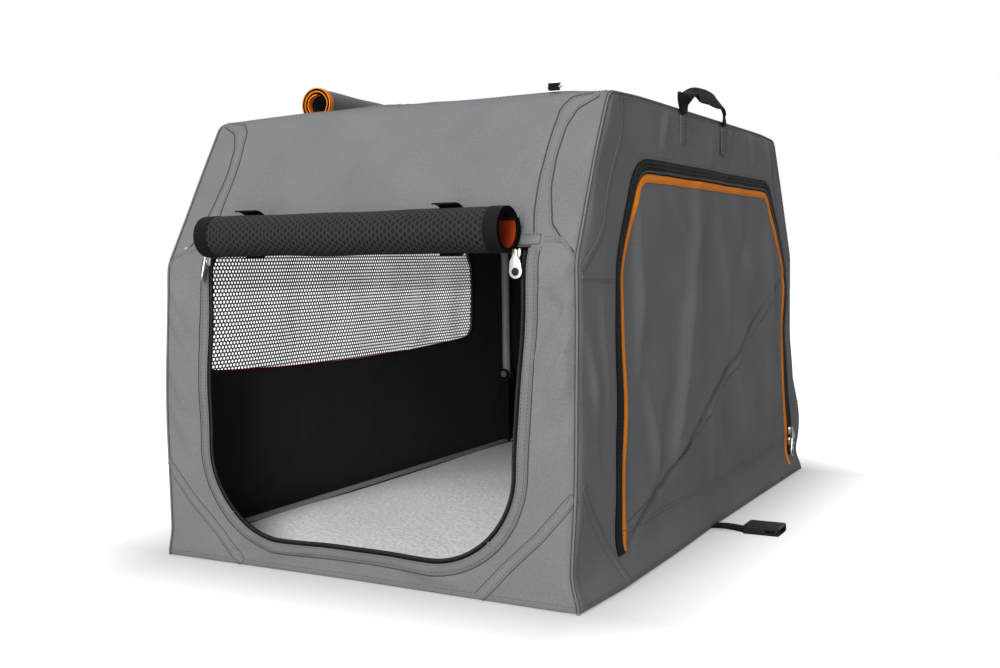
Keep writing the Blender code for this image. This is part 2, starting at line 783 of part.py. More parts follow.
def make_straps():
    start = half_width + 2 * gap + strap_length + gap
    add_object("right_closing_strap", strap_box(bmesh.new(), 1), "webbing")
    half = buckle_width / 2
    low = (start, strap_place - half, 0)
    high = (start + buckle_length, strap_place + half, buckle_height)
    socket = add_object("buckle_socket", box(bmesh.new(), low, high), "black_plastic")
    bevel = socket.modifiers.new("round_edges", "BEVEL")
    bevel.width = buckle_wall
    bevel.segments = 2
    mouth_low = (start + buckle_length - buckle_mouth_depth, strap_place - half + buckle_wall, buckle_wall)
    mouth_high = (start + buckle_length + overrun, strap_place + half - buckle_wall, buckle_height - buckle_wall)
    combine(socket, add_helper("buckle_mouth", box(bmesh.new(), mouth_low, mouth_high)))
    window_end = start + buckle_length - buckle_window_length / 2
    low = (window_end - buckle_window_length, strap_place - half - overrun, 2 * buckle_wall)
    high = (window_end, strap_place + half + overrun, buckle_height - 2 * buckle_wall)
    combine(socket, add_helper("buckle_windows", box(bmesh.new(), low, high)))
    add_object("left_closing_strap", strap_box(bmesh.new(), -1), "webbing")
    make_plug(-start)


def make_plug(start):
    # the plug half: a base, two springy side prongs and a middle guide
    half = buckle_width / 2 - plug_margin
    base_end = start - prong_base
    tip = start - buckle_length + prong_base
    inner = half - prong_width
    guide = prong_width / 2
    outline = [(start, half), (base_end, half), (tip + prong_width, half), (tip, inner + prong_width / 2)]
    outline += [(tip, inner), (base_end, inner), (base_end, guide), (tip, guide)]
    outline += [(x, -y) for x, y in reversed(outline)]
    outline = [(x, strap_place + y) for x, y in outline]
    add_object("buckle_plug", prism(bmesh.new(), outline, "Z", 0, plug_height), "black_plastic")


clear_scene()
make_base()
make_front_wall()
make_rear_wall()
make_front_roll()
make_front_sliders()
make_ring()
make_right_side()
make_left_side()
make_straps()
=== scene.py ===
import math

import bmesh
import bpy
import numpy as np
from mathutils import Matrix, Vector
from mathutils.geometry import delaunay_2d_cdt


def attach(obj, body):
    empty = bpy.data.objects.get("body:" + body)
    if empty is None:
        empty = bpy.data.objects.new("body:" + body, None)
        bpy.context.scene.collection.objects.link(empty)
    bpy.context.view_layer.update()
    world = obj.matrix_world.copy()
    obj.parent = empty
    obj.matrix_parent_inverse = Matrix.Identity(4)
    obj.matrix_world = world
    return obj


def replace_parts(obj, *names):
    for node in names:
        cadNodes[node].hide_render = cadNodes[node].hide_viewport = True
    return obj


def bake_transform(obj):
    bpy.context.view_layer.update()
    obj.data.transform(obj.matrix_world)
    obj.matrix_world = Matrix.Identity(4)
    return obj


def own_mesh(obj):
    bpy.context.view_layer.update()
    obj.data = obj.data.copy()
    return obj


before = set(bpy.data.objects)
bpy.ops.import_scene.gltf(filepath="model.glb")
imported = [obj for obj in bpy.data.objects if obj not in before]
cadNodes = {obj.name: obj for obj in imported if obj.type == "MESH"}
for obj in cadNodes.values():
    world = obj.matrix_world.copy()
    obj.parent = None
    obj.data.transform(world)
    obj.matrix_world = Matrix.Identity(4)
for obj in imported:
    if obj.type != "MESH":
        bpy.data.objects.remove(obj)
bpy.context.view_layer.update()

crate = {"width": 0.480, "depth": 0.770, "height": 0.480, "knee": 0.316, "inset": 0.090, "cloth": 0.003}
halfWidth, halfDepth = crate["width"] / 2, crate["depth"] / 2
roofHalf = halfDepth - crate["inset"]
slopeTurn = math.atan2(crate["inset"], crate["height"] - crate["knee"])
slopeLength = math.hypot(crate["inset"], crate["height"] - crate["knee"])
roofTurn = math.pi / 2 - slopeTurn
endTop = crate["knee"] + slopeLength
rounding = {"corner": 0.009, "knee": 0.040, "ridge": 0.022, "foot": 0.004}


class Wire:
    # a shader node's output, with which sums are written
    def __init__(self, finish, socket):
        self.finish, self.socket = finish, socket

    def maths(self, operation, *others):
        inputs = dict(enumerate((self,) + others))
        return self.finish.node("ShaderNodeMath", {"operation": operation}, inputs)

    def __add__(self, other): return self.maths("ADD", other)
    def __radd__(self, other): return self.maths("ADD", other)
    def __sub__(self, other): return self.maths("SUBTRACT", other)
    def __rsub__(self, other): return self.finish.node("ShaderNodeMath", {"operation": "SUBTRACT"}, {0: other, 1: self})
    def __mul__(self, other): return self.maths("MULTIPLY", other)
    def __rmul__(self, other): return self.maths("MULTIPLY", other)
    def __truediv__(self, other): return self.maths("DIVIDE", other)
    def __pow__(self, other): return self.maths("POWER", other)
    def sine(self): return self.maths("SINE")
    def fraction(self): return self.maths("FRACT")
    def least(self, other): return self.maths("MINIMUM", other)

    def ramp(self, low, high):
        inputs = {"Value": self, "From Min": low, "From Max": high}
        return self.finish.node("ShaderNodeMapRange", {"clamp": True}, inputs)


class Finish:
    # one material: nodes are added through node(), the shader's constants are set on its own sockets
    def __init__(self, name, **constants):
        self.material = bpy.data.materials.new(name)
        self.material.use_nodes = True
        self.tree = self.material.node_tree
        self.shader = self.tree.nodes["Principled BSDF"]
        for socket, value in constants.items():
            self.set(socket.replace("_", " "), value)

    def fill(self, socket, value):
        if isinstance(value, Wire):
            self.tree.links.new(value.socket, socket)
        else:
            plainColour = isinstance(value, tuple) and len(value) == 3 and socket.type == "RGBA"
            socket.default_value = (*value, 1.0) if plainColour else value

    def set(self, socket, value):
        self.fill(self.shader.inputs[socket], value)

    def node(self, kind, settings, inputs, output=0):
        made = self.tree.nodes.new(kind)
        for name, value in settings.items():
            setattr(made, name, value)
        for name, value in inputs.items():
            self.fill(made.inputs[name], value)
        return Wire(self, made.outputs[output])

    def place(self, source="Object"):
        return self.node("ShaderNodeTexCoord", {}, {}, source)

    def parts(self, vector):
        made = self.tree.nodes.new("ShaderNodeSeparateXYZ")
        self.tree.links.new(vector.socket, made.inputs[0])
        return [Wire(self, socket) for socket in made.outputs]

    def noise(self, vector, scale, detail=2.0, roughness=0.5):
        inputs = {"Vector": vector, "Scale": scale, "Detail": detail, "Roughness": roughness}
        return self.node("ShaderNodeTexNoise", {}, inputs)

    def cells(self, vector, scale, settings, **more):
        return self.node("ShaderNodeTexVoronoi", settings, {"Vector": vector, "Scale": scale, **more})

    def stretched(self, vector, scale):
        return self.node("ShaderNodeMapping", {}, {"Vector": vector, "Scale": scale})

    def colours(self, factor, first, second):
        # the mix node keeps its colour sockets at the places 6, 7 and 2
        return self.node("ShaderNodeMix", {"data_type": "RGBA"}, {0: factor, 6: first, 7: second}, 2)

    def shades(self, factor, colour, dark, pale):
        return self.colours(factor, tint(colour, dark), tint(colour, pale))

    def bump(self, height, distance, strength=1.0, under=None):
        inputs = {"Height": height, "Distance": distance, "Strength": strength}
        if under is not None:
            inputs["Normal"] = under
        return self.node("ShaderNodeBump", {}, inputs)

    def done(self, colour, roughness, normal):
        self.set("Base Color", colour)
        self.set("Roughness", roughness)
        self.set("Normal", normal)
        return self.material


def tint(colour, share):
    return tuple(min(1.0, c * share) for c in colour)


def wovenCloth(name, colour, pitch, sheen):
    # plain weave on the cloth's own map, with soft uneven dye
    finish = Finish(name, Sheen_Weight=sheen, Sheen_Roughness=0.5, Specular_IOR_Level=0.16)
    place = finish.place("UV")
    u, v, _ = finish.parts(place)
    thread = 2 * math.pi / pitch
    weave = (u * thread).sine() * (v * thread).sine() * 0.5 + 0.5
    cloud = finish.noise(place, 14.0, 3.0).ramp(0.3, 0.7)
    fine = finish.noise(place, 450.0, 3.0).ramp(0.3, 0.7)
    slub = finish.noise(finish.stretched(place, (2.0, 60.0, 1.0)), 20.0, 2.0).ramp(0.35, 0.7)
    tone = cloud * 0.30 + fine * 0.45 + weave * 0.15 + slub * 0.1
    crumple = finish.bump(finish.noise(place, 34.0, 4.0, 0.55), 0.0022, 0.35)
    normal = finish.bump(weave + fine * 0.5, 0.00012, 0.5, crumple)
    return finish.done(finish.shades(tone, colour, 0.80, 1.18), 0.93 - 0.12 * weave, normal)


def holeMask(finish, place, pitch, share):
    # 1 in the holes of a staggered net
    u, v, _ = finish.parts(place)
    across, up = u / pitch, v / (pitch * 1.732)

    def nearest(a, b):
        x = (a.fraction() - 0.5) * (a.fraction() - 0.5)
        y = (b.fraction() - 0.5) * (b.fraction() - 0.5) * 3.0
        return (x + y) ** 0.5
    near = nearest(across + 100.0, up + 100.0).least(nearest(across + 100.5, up + 100.5))
    return 1.0 - near.ramp(share - 0.05, share + 0.05)


def netCloth(name, pitch, share, colour, seeThrough):
    finish = Finish(name, Specular_IOR_Level=0.16)
    place = finish.place("UV")
    hole = holeMask(finish, place, pitch, share)
    fibre = finish.noise(place, 1500.0, 2.0)
    if seeThrough:
        finish.set("Alpha", 1.0 - hole)
    # the holes go near-black; on the door roll, which is not see-through, this is painted: the dark inner turns and the
    # shade inside the roll
    colours = finish.colours(hole * 0.9, finish.shades(fibre, colour, 0.6, 1.5), (0.004, 0.004, 0.004))
    return finish.done(colours, 0.62 + 0.25 * fibre, finish.bump((1.0 - hole) + fibre * 0.25, 0.0007, 0.8))


def ribbedTape(name, colour, pitch, dark=0.62, pale=1.3):
    # tape woven across its length: the map's first place runs along the tape
    finish = Finish(name, Specular_IOR_Level=0.08)
    place = finish.place("UV")
    u, v, _ = finish.parts(place)
    rib = (u * (2 * math.pi / pitch)).sine() * 0.5 + 0.5
    cross = (v * (2 * math.pi / (pitch * 1.4))).sine() * (u * (math.pi / pitch)).sine() * 0.5 + 0.5
    fibre = finish.noise(place, 1200.0, 2.0)
    rubbed = finish.noise(place, 40.0, 3.0).ramp(0.45, 0.75)
    base = finish.shades(rib * 0.35 + cross * 0.25 + fibre * 0.4, colour, dark, pale)
    colours = finish.colours(rubbed * 0.25, base, tint(colour, pale * 1.15))
    return finish.done(colours, 0.8 - 0.2 * rib, finish.bump(rib * 0.7 + cross * 0.5 + fibre * 0.3, 0.00035, 0.8))


def plainMetal(name, colour, roughness, brushed):
    finish = Finish(name, Metallic=1.0)
    place = finish.place()
    streak = finish.noise(finish.stretched(place, brushed), 500.0, 3.0)
    spots = finish.noise(place, 60.0, 4.0).ramp(0.45, 0.8)
    colours = finish.shades(spots * 0.5, colour, 1.0, 0.72)
    return finish.done(colours, roughness + 0.14 * streak + 0.1 * spots, finish.bump(streak, 0.00005, 0.4))


def paintedSteel(name, colour):
    finish = Finish(name, Coat_Roughness=0.35)
    place = finish.place()
    orange = finish.noise(place, 420.0, 2.0)
    worn = finish.noise(place, 26.0, 5.0, 0.65).ramp(0.56, 0.72)
    finish.set("Coat Weight", 0.3 - 0.2 * worn)
    colours = finish.shades(worn * 0.45, colour, 1.0, 1.2)
    return finish.done(colours, 0.42 - 0.12 * worn + 0.08 * orange, finish.bump(orange, 0.00012, 0.35))


def mouldedPlastic(name, colour):
    finish = Finish(name, Specular_IOR_Level=0.22)
    place = finish.place()
    spark = finish.cells(place, 1800.0, {})
    flow = finish.noise(place, 18.0, 3.0)
    scuff = finish.noise(finish.stretched(place, (1.0, 6.0, 2.0)), 120.0, 4.0).ramp(0.58, 0.74)
    colours = finish.colours(scuff * 0.3, finish.shades(flow, colour, 0.8, 1.3), tint(colour, 2.0))
    return finish.done(colours, 0.42 + 0.18 * spark + 0.15 * scuff, finish.bump(spark, 0.00008, 0.5))


def coilPlastic(name, colour):
    finish = Finish(name, Specular_IOR_Level=0.5)
    grain = finish.noise(finish.place(), 700.0, 2.0)
    return finish.done(finish.shades(grain, colour, 0.7, 1.5), 0.38 + 0.2 * grain, finish.bump(grain, 0.0001, 0.4))


def threadFinish(name, colour):
    finish = Finish(name, Sheen_Weight=0.2)
    twist = finish.noise(finish.stretched(finish.place(), (3.0, 3.0, 1.0)), 2200.0, 1.0).ramp(0.35, 0.65)
    return finish.done(finish.shades(twist, colour, 0.65, 1.25), 0.7 + 0.2 * twist, finish.bump(twist, 0.0001, 0.5))


def fleecePile(name, colour):
    finish = Finish(name, Sheen_Weight=0.5, Sheen_Roughness=0.4, Specular_IOR_Level=0.1)
    place = finish.place()
    curl = finish.cells(place, 190.0, {"feature": "SMOOTH_F1"}, Smoothness=0.7)
    tuft = finish.noise(place, 420.0, 4.0, 0.7)
    flat = finish.noise(place, 11.0, 3.0).ramp(0.35, 0.7)
    pile = curl * 0.8 + tuft * 0.8
    colours = finish.shades(pile.ramp(0.25, 1.0), colour, 0.78, 1.08)
    return finish.done(colours, 0.92 + 0.06 * tuft, finish.bump(pile + flat * 1.5, 0.0024, 0.8))


def blackBoard(name, colour):
    finish = Finish(name)
    grain = finish.noise(finish.stretched(finish.place(), (1.0, 0.1, 1.0)), 300.0, 4.0)
    return finish.done(finish.shades(grain, colour, 0.7, 1.4), 0.6 + 0.2 * grain, finish.bump(grain, 0.0002, 0.4))


finishes = {
    "grey": wovenCloth("greyPolyester", (0.158, 0.161, 0.169), 0.0010, 0.03),
    "greyBand": wovenCloth("greyHem", (0.146, 0.149, 0.157), 0.0010, 0.03),
    "inside": wovenCloth("blackLining", (0.012, 0.0125, 0.014), 0.0010, 0.1),
    "window": netCloth("windowNet", 0.0050, 0.355, (0.016, 0.017, 0.019), True),
    "roll": netCloth("doorNet", 0.0050, 0.33, (0.021, 0.021, 0.023), False),
    "orange": ribbedTape("orangeBinding", (1.000, 0.285, 0.020), 0.0016, 0.80, 1.05),
    # the orange binding's inner side, coloured darker: painted shade
    "darkOrange": ribbedTape("innerOrangeBinding", (0.100, 0.012, 0.006), 0.0016, 0.80, 1.10),
    # orange lining coloured darker: painted shade inside the door roll
    "lining": ribbedTape("orangeRedLining", (0.400, 0.045, 0.010), 0.0016, 0.75, 1.15),
    "blackTape": ribbedTape("blackTape", (0.0055, 0.0055, 0.006), 0.0014),
    "zipTape": ribbedTape("zipTape", (0.0045, 0.0045, 0.005), 0.0011),
    "webbing": ribbedTape("blackWebbing", (0.0045, 0.0045, 0.005), 0.0024),
    "coil": coilPlastic("zipCoil", (0.012, 0.012, 0.013)),
    "nickel": plainMetal("nickelPlate", (0.74, 0.72, 0.67), 0.22, (1.0, 1.0, 0.2)),
    "steelPaint": paintedSteel("greyFramePaint", (0.42, 0.42, 0.43)),
    "bareSteel": plainMetal("bareSteel", (0.60, 0.60, 0.61), 0.28, (0.2, 1.0, 1.0)),
    "plastic": mouldedPlastic("blackNylon", (0.0055, 0.0055, 0.006)),
    "thread": threadFinish("greyThread", (0.060, 0.062, 0.067)),
    # dark thread for stitches, and also the colour of the painted shade lines along seams
    "darkThread": threadFinish("darkThread", (0.022, 0.0225, 0.025)),
    "orangeThread": threadFinish("orangeThread", (0.60, 0.17, 0.05)),
    "fleece": fleecePile("paleFleece", (0.80, 0.80, 0.79)),
    "board": blackBoard("stiffener", (0.03, 0.03, 0.03)),
}
print("finishes ready:", len(finishes))


def smoothStep(value):
    value = np.clip(value, 0, 1)
    return value * value * (3 - 2 * value)


def roundedPath(points, radius, steps=8, closed=False):
    points = [Vector(p) for p in points]
    count = len(points)
    radii = [radius] * count if isinstance(radius, (int, float)) else radius
    result = []
    for i, corner in enumerate(points):
        if (not closed and i in (0, count - 1)) or radii[i] == 0:
            result.append(corner)
            continue
        back = (points[i - 1] - corner).normalized()
        ahead = (points[(i + 1) % count] - corner).normalized()
        half = back.angle(ahead) / 2
        reach = radii[i] / math.tan(half)
        centre = corner + (back + ahead).normalized() * (radii[i] / math.sin(half))
        start, end = corner + back * reach - centre, corner + ahead * reach - centre
        result += [centre + start.lerp(end, k / steps).normalized() * radii[i] for k in range(steps + 1)]
    return result


def shiftedPath(points, distance, closed=False):
    points = [Vector(p) for p in points]
    count = len(points)
    result = []
    for i in range(count):
        before = points[i - 1] if closed or i > 0 else None
        after = points[(i + 1) % count] if closed or i < count - 1 else None
        first = (points[i] - before if before is not None else after - points[i]).normalized()
        second = (after - points[i]).normalized() if after is not None else first
        mean = (first + second).normalized()
        side = Vector((-mean.y, mean.x))
        share = max(0.4, side.dot(Vector((-first.y, first.x))))
        result.append(points[i] + side * (distance / share))
    return result


def runLength(points):
    return np.concatenate([[0], np.cumsum(np.linalg.norm(np.diff(points, axis=0), axis=1))])


def evenPath(points, step, closed=False):
    points = np.array([tuple(p) for p in points], float)
    if closed:
        points = np.vstack([points, points[:1]])
    total = runLength(points)
    count = max(2, int(round(total[-1] / step)))
    places = np.linspace(0, total[-1], count + 1)
    if closed:
        places = places[:-1]
    return np.stack([np.interp(places, total, points[:, k]) for k in range(points.shape[1])], axis=1)


def inPolygon(points, polygon):
    inside = np.zeros(len(points), bool)
    x, y = points[:, 0], points[:, 1]
    for (ax, ay), (bx, by) in zip(polygon, np.roll(polygon, -1, axis=0)):
        crosses = (ay > y) != (by > y)
        with np.errstate(divide="ignore", invalid="ignore"):
            at = (bx - ax) * (y - ay) / (by - ay) + ax
        inside ^= crosses & (x < at)
    return inside


def pathDistance(points, path):
    # distance to a path, and the path's left-hand normal there
    path = np.array([tuple(p) for p in path], float)
    best = np.full(len(points), 1e9)
    normal = np.zeros((len(points), 2))
    for a, b in zip(path[:-1], path[1:]):
        along = b - a
        size = np.hypot(*along)
        if size < 1e-9:
            continue
        share = np.clip(((points - a) @ along) / size ** 2, 0, 1)
        away = np.linalg.norm(points - (a + share[:, None] * along), axis=1)
        closer = away < best
        best[closer] = away[closer]
        normal[closer] = (-along[1] / size, along[0] / size)
    return best, normal


spread = {
    "y": (-0.385, -0.30, -0.15, 0.0, 0.20, 0.385), "right": (0.009, 0.015, 0.015, 0.012, 0.013, 0.015),
    "left": (0.0085, 0.006, 0.005, 0.005, 0.005, 0.006), "x": (-0.24, 0.0, 0.24), "front": (0.005, 0.005, 0.012),
    "sideReach": 0.023, "endReach": 0.075, "rear": 0.010}
belly = {"low": (0.150, 0.125), "heel": (0.075, 0.060), "knee": (0.300, 0.10), "corner": 0.24, "fade": 0.145}
cornerDrops = (  # the corner, how far it hangs, how wide
    (-0.24, -0.295, 0.0028, 0.060), (0.24, -0.295, 0.0022, 0.050),
    (0.24, 0.295, 0.0028, 0.050), (-0.24, 0.295, 0.0022, 0.050))


def settled(points):
    # the cover spreads at its foot, bellies out low at the rear right and hangs a little at its top corners
    x, y, z = points[:, 0], points[:, 1], points[:, 2]
    up = smoothStep(z / 0.05)
    low, heel, knee = (np.exp(-((z - belly[key][0]) / belly[key][1]) ** 2) * up for key in ("low", "heel", "knee"))
    sideFoot, endFoot = (np.exp(-(z / spread[key]) ** 2) for key in ("sideReach", "endReach"))
    rear, front = (smoothStep((sign * y - belly["corner"]) / belly["fade"]) for sign in (1, -1))
    right, left = (smoothStep((sign * x - 0.10) / 0.14) for sign in (1, -1))
    middle = np.clip(1 - (x / halfWidth) ** 2, 0, 1)
    moved = points.copy()
    moved[:, 0] += right * smoothStep((y - 0.335) / 0.045) * heel * 0.009 - left * front * low * 0.009
    moved[:, 0] += right * front * (knee * 0.004 + low * 0.003)
    moved[:, 0] += sideFoot * right * np.interp(y, spread["y"], spread["right"])
    moved[:, 0] -= sideFoot * left * np.interp(y, spread["y"], spread["left"])
    moved[:, 1] += rear * (heel * (0.012 + 0.004 * right) + low * middle * 0.010)
    moved[:, 1] -= front * np.abs(x / halfWidth) ** 3 * low * 0.0012
    moved[:, 1] += endFoot * (rear * spread["rear"] - front * np.interp(x, spread["x"], spread["front"]))
    for cornerX, cornerY, drop, size in cornerDrops:
        near = np.exp(-((x - cornerX) / size) ** 2 - ((y - cornerY) / size) ** 2)
        moved[:, 2] -= smoothStep((z - 0.40) / 0.08) * drop * near
    return moved


class Cloth:
    # a wall of the cover: its flat map, rounded rims that meet the next wall, folds and slow waves
    def __init__(self, base, rims=(), folds=(), waves=0.0, seed=1, bulge=None, calm=0.014, crisp=1.0):
        self.base, self.rims, self.folds, self.waves = base, rims, folds, waves
        self.bulge, self.calm, self.crisp = bulge, calm, crisp
        dice = np.random.default_rng(seed)
        self.sines = [(dice.uniform(18, 75), dice.uniform(0, 6.283), dice.uniform(0, 6.283)) for _ in range(9)]

    def relief(self, uv):
        height = np.zeros(len(uv))
        for k, turn, phase in self.sines:
            along = uv @ np.array([math.cos(turn), math.sin(turn)])
            slow = 1.3 * np.sin(17 * uv[:, 0] + 11 * uv[:, 1] + phase)
            height += self.waves * (28 / k) ** 0.5 * np.sin(k * along + phase + slow)
        for ax, ay, bx, by, width, tall in self.folds:
            a, b = np.array([ax, ay]), np.array([bx, by])
            along = b - a
            size = np.hypot(*along)
            share = np.clip(((uv - a) @ along) / size ** 2, 0, 1)
            beyond = np.linalg.norm(uv - (a + share[:, None] * along), axis=1)
            side = ((uv - a) @ np.array([-along[1], along[0]])) / size
            lean = 1 + 0.45 * np.tanh(side / width)
            fade = 0.35 + 0.65 * np.sin(math.pi * np.clip(0.08 + 0.84 * share, 0, 1))
            height += self.crisp * tall * np.exp(-(beyond / (width * lean)) ** 1.45) * fade
        return height + self.bulge(uv) if self.bulge else height

    def shape(self, uv):
        uv = np.asarray(uv, float)
        moved, depth, calm = uv.copy(), np.zeros(len(uv)), np.ones(len(uv))
        for path, radius, turn in self.rims:
            distance, normal = pathDistance(uv, path)
            reach = radius * math.tan(turn / 2)
            near = distance < reach
            angle = np.where(near, (turn / 2) * (1 - distance / reach), 0)
            lateral = np.where(near, reach - radius * np.sin(angle) - distance, 0)
            moved += normal * lateral[:, None]
            depth += np.where(near, radius * (1 - np.cos(angle)), 0)
            calm *= smoothStep((distance - 0.002) / self.calm)
        points, out = self.base(moved)
        return settled(points + out * (self.relief(uv) * calm - depth)[:, None])

    def normals(self, uv):
        uv = np.asarray(uv, float)
        step = 0.0012
        du = self.shape(uv + (step, 0)) - self.shape(uv - (step, 0))
        dv = self.shape(uv + (0, step)) - self.shape(uv - (0, step))
        cross = np.cross(du, dv)
        _, out = self.base(uv)
        cross *= np.sign(np.sum(cross * out, axis=1))[:, None]
        size = np.linalg.norm(cross, axis=1)[:, None]
        return np.where(size > 1e-12, cross / np.maximum(size, 1e-12), out)

    def at(self, uv, lift=0.0):
        uv = np.asarray(uv, float)
        return self.shape(uv) + self.normals(uv) * np.asarray(lift).reshape(-1, 1)


def flatBase(place, out):
    # a plane: place gives its x, y and z from the map's two numbers
    def base(uv):
        columns = [np.broadcast_to(value, len(uv)) for value in place(uv[:, 0], uv[:, 1])]
        return np.stack(columns, axis=1).astype(float), np.tile(tuple(map(float, out)), (len(uv), 1))
    return base


def liftedBase(cloth, lift):
    return lambda uv: (cloth.at(uv, lift), cloth.normals(uv))


def endWallBase(facing):
    # facing is -1 for the front wall and 1 for the rear one; the second place runs up the wall and the slope
    radius, turn = rounding["knee"], slopeTurn
    start = crate["knee"] - radius * math.tan(turn / 2)

    def base(uv):
        x, s = uv[:, 0], uv[:, 1]
        angle = np.clip((s - start) / radius, 0, turn)
        over = np.maximum(s - start - radius * turn, 0)
        inward = radius * (1 - np.cos(angle)) + over * math.sin(turn)
        z = np.minimum(s, start) + radius * np.sin(angle) + over * math.cos(turn)
        points = np.stack([x, facing * (halfDepth - inward), z], axis=1)
        return points, np.stack([np.zeros_like(x), facing * np.cos(angle), np.sin(angle)], axis=1)
    return base


def rim(name, turn, *points):
    return points, rounding[name], turn


endRims = [
    rim("corner", math.pi / 2, (-halfWidth, endTop), (-halfWidth, 0)),
    rim("corner", math.pi / 2, (halfWidth, 0), (halfWidth, endTop)),
    rim("ridge", roofTurn, (halfWidth, endTop), (-halfWidth, endTop)),
    rim("foot", math.pi / 2, (-halfWidth, 0), (halfWidth, 0)),
]
sideChain = roundedPath(
    [(halfDepth, 0), (halfDepth, crate["knee"]), (roofHalf, crate["height"]),
     (-roofHalf, crate["height"]), (-halfDepth, crate["knee"]), (-halfDepth, 0)],
    [0, rounding["knee"], rounding["ridge"], rounding["ridge"], rounding["knee"], 0])
sideRims = [rim("corner", math.pi / 2, *sideChain), rim("foot", math.pi / 2, (-halfDepth, 0), (halfDepth, 0))]
roofRims = [
    rim("ridge", roofTurn, (-halfWidth, -roofHalf), (halfWidth, -roofHalf)),
    rim("ridge", roofTurn, (halfWidth, roofHalf), (-halfWidth, roofHalf)),
    rim("corner", math.pi / 2, (halfWidth, -roofHalf), (halfWidth, roofHalf)),
    rim("corner", math.pi / 2, (-halfWidth, roofHalf), (-halfWidth, -roofHalf)),
]

frontFolds = [  # from, to, half width, height
    (-0.234, 0.301, -0.200, 0.246, 0.0075, 0.0022), (-0.238, 0.284, -0.206, 0.222, 0.0080, 0.0020),
    (-0.241, 0.250, -0.214, 0.168, 0.0085, 0.0022), (-0.236, 0.176, -0.206, 0.118, 0.0080, 0.0014),
    (-0.230, 0.330, -0.204, 0.345, 0.0070, -0.0012),
    (0.240, 0.290, 0.203, 0.226, 0.0070, 0.0026), (0.240, 0.264, 0.214, 0.202, 0.0080, 0.0024),
    (0.236, 0.315, 0.205, 0.288, 0.0065, 0.0020), (0.204, 0.290, 0.228, 0.258, 0.0060, -0.0016),
    (0.240, 0.223, 0.212, 0.180, 0.0075, 0.0018), (0.238, 0.170, 0.210, 0.120, 0.0080, 0.0014),
    (-0.110, 0.020, -0.050, 0.026, 0.0070, 0.0013), (-0.020, 0.012, 0.060, 0.024, 0.0070, -0.0012),
    (0.060, 0.022, 0.120, 0.014, 0.0060, 0.0013), (-0.150, 0.012, -0.110, 0.020, 0.0060, -0.0010),
    (-0.150, 0.400, -0.110, 0.468, 0.0110, 0.0018), (0.150, 0.390, 0.176, 0.455, 0.0110, 0.0020),
    (0.060, 0.392, 0.030, 0.470, 0.0160, 0.0014), (-0.050, 0.395, -0.020, 0.470, 0.0160, -0.0012),
]
rightFolds = [
    (-0.050, 0.394, -0.122, 0.140, 0.020, 0.0034), (0.022, 0.387, 0.060, 0.225, 0.018, 0.0030),
    (0.101, 0.373, 0.183, 0.248, 0.020, 0.0030), (-0.228, 0.373, -0.231, 0.204, 0.012, 0.0022),
    (0.227, 0.364, 0.255, 0.250, 0.016, 0.0026), (-0.148, 0.390, -0.097, 0.352, 0.010, 0.0018),
    (-0.010, 0.360, -0.030, 0.220, 0.022, -0.0026), (0.150, 0.380, 0.110, 0.290, 0.016, -0.0022),
    (-0.212, 0.182, -0.164, 0.058, 0.013, 0.0026), (-0.113, 0.183, -0.136, 0.104, 0.014, 0.0024),
    (-0.011, 0.136, 0.008, 0.055, 0.014, 0.0026), (0.090, 0.180, 0.160, 0.070, 0.020, 0.0028),
    (0.220, 0.225, 0.270, 0.080, 0.020, 0.0026), (-0.160, 0.150, -0.180, 0.070, 0.010, -0.0018),
    (0.040, 0.160, 0.080, 0.060, 0.016, -0.0020), (0.300, 0.300, 0.310, 0.150, 0.012, 0.0018),
    (-0.267, 0.031, -0.044, 0.129, 0.0036, -0.0020), (-0.044, 0.129, 0.131, 0.210, 0.0036, -0.0022),
    (0.131, 0.210, 0.239, 0.261, 0.0036, -0.0020), (0.239, 0.261, 0.330, 0.283, 0.0036, -0.0018),
    (-0.255, 0.046, 0.120, 0.216, 0.0080, 0.0012), (0.120, 0.216, 0.320, 0.290, 0.0080, 0.0012),
    (-0.140, 0.477, -0.161, 0.430, 0.0080, 0.0018), (0.082, 0.477, 0.072, 0.440, 0.0080, 0.0020),
    (0.162, 0.476, 0.183, 0.432, 0.0080, 0.0020), (0.240, 0.470, 0.262, 0.420, 0.0090, 0.0018),
    (-0.060, 0.470, -0.040, 0.435, 0.0090, -0.0012), (0.010, 0.470, 0.000, 0.430, 0.0110, 0.0012),
    (-0.330, 0.270, -0.312, 0.170, 0.0090, 0.0018), (-0.362, 0.240, -0.330, 0.150, 0.0090, 0.0018),
    (-0.340, 0.180, -0.320, 0.120, 0.0080, -0.0012), (0.370, 0.250, 0.362, 0.120, 0.0080, 0.0016),
    (0.330, 0.390, 0.300, 0.420, 0.0080, 0.0014),
]


def doorBelly(uv):
    # the cloth stands a little proud between the poles
    across = smoothStep((0.34 - np.abs(uv[:, 0] - 0.02)) / 0.20)
    return 0.0045 * across * smoothStep(uv[:, 1] / 0.16) * smoothStep((0.46 - uv[:, 1]) / 0.2)


rearFolds = [(*ends, width, tall * 0.8) for *ends, width, tall in frontFolds]
leftFolds = [(*ends, width, tall * 0.7) for *ends, width, tall in rightFolds if ends[1] < 0.18 or ends[1] > 0.42]
roofFolds = [(-0.18, -0.27, -0.05, -0.20, 0.016, -0.0030), (0.04, -0.28, 0.16, -0.22, 0.014, 0.0016),
             (-0.20, 0.10, -0.02, 0.16, 0.022, -0.0030), (0.02, 0.05, 0.21, -0.03, 0.022, -0.0030),
             (0.05, 0.27, 0.20, 0.18, 0.018, 0.0018), (-0.15, -0.05, 0.10, -0.09, 0.025, -0.0028)]
frontCloth = Cloth(endWallBase(-1), endRims, frontFolds, 0.00055, 3, calm=0.010, crisp=2.3)
rearCloth = Cloth(endWallBase(1), endRims, rearFolds, 0.0009, 8)
rightBase = flatBase(lambda y, z: (halfWidth, y, z), (1, 0, 0))
rightCloth = Cloth(rightBase, sideRims, rightFolds, 0.0007, 5, bulge=doorBelly, crisp=2.4)
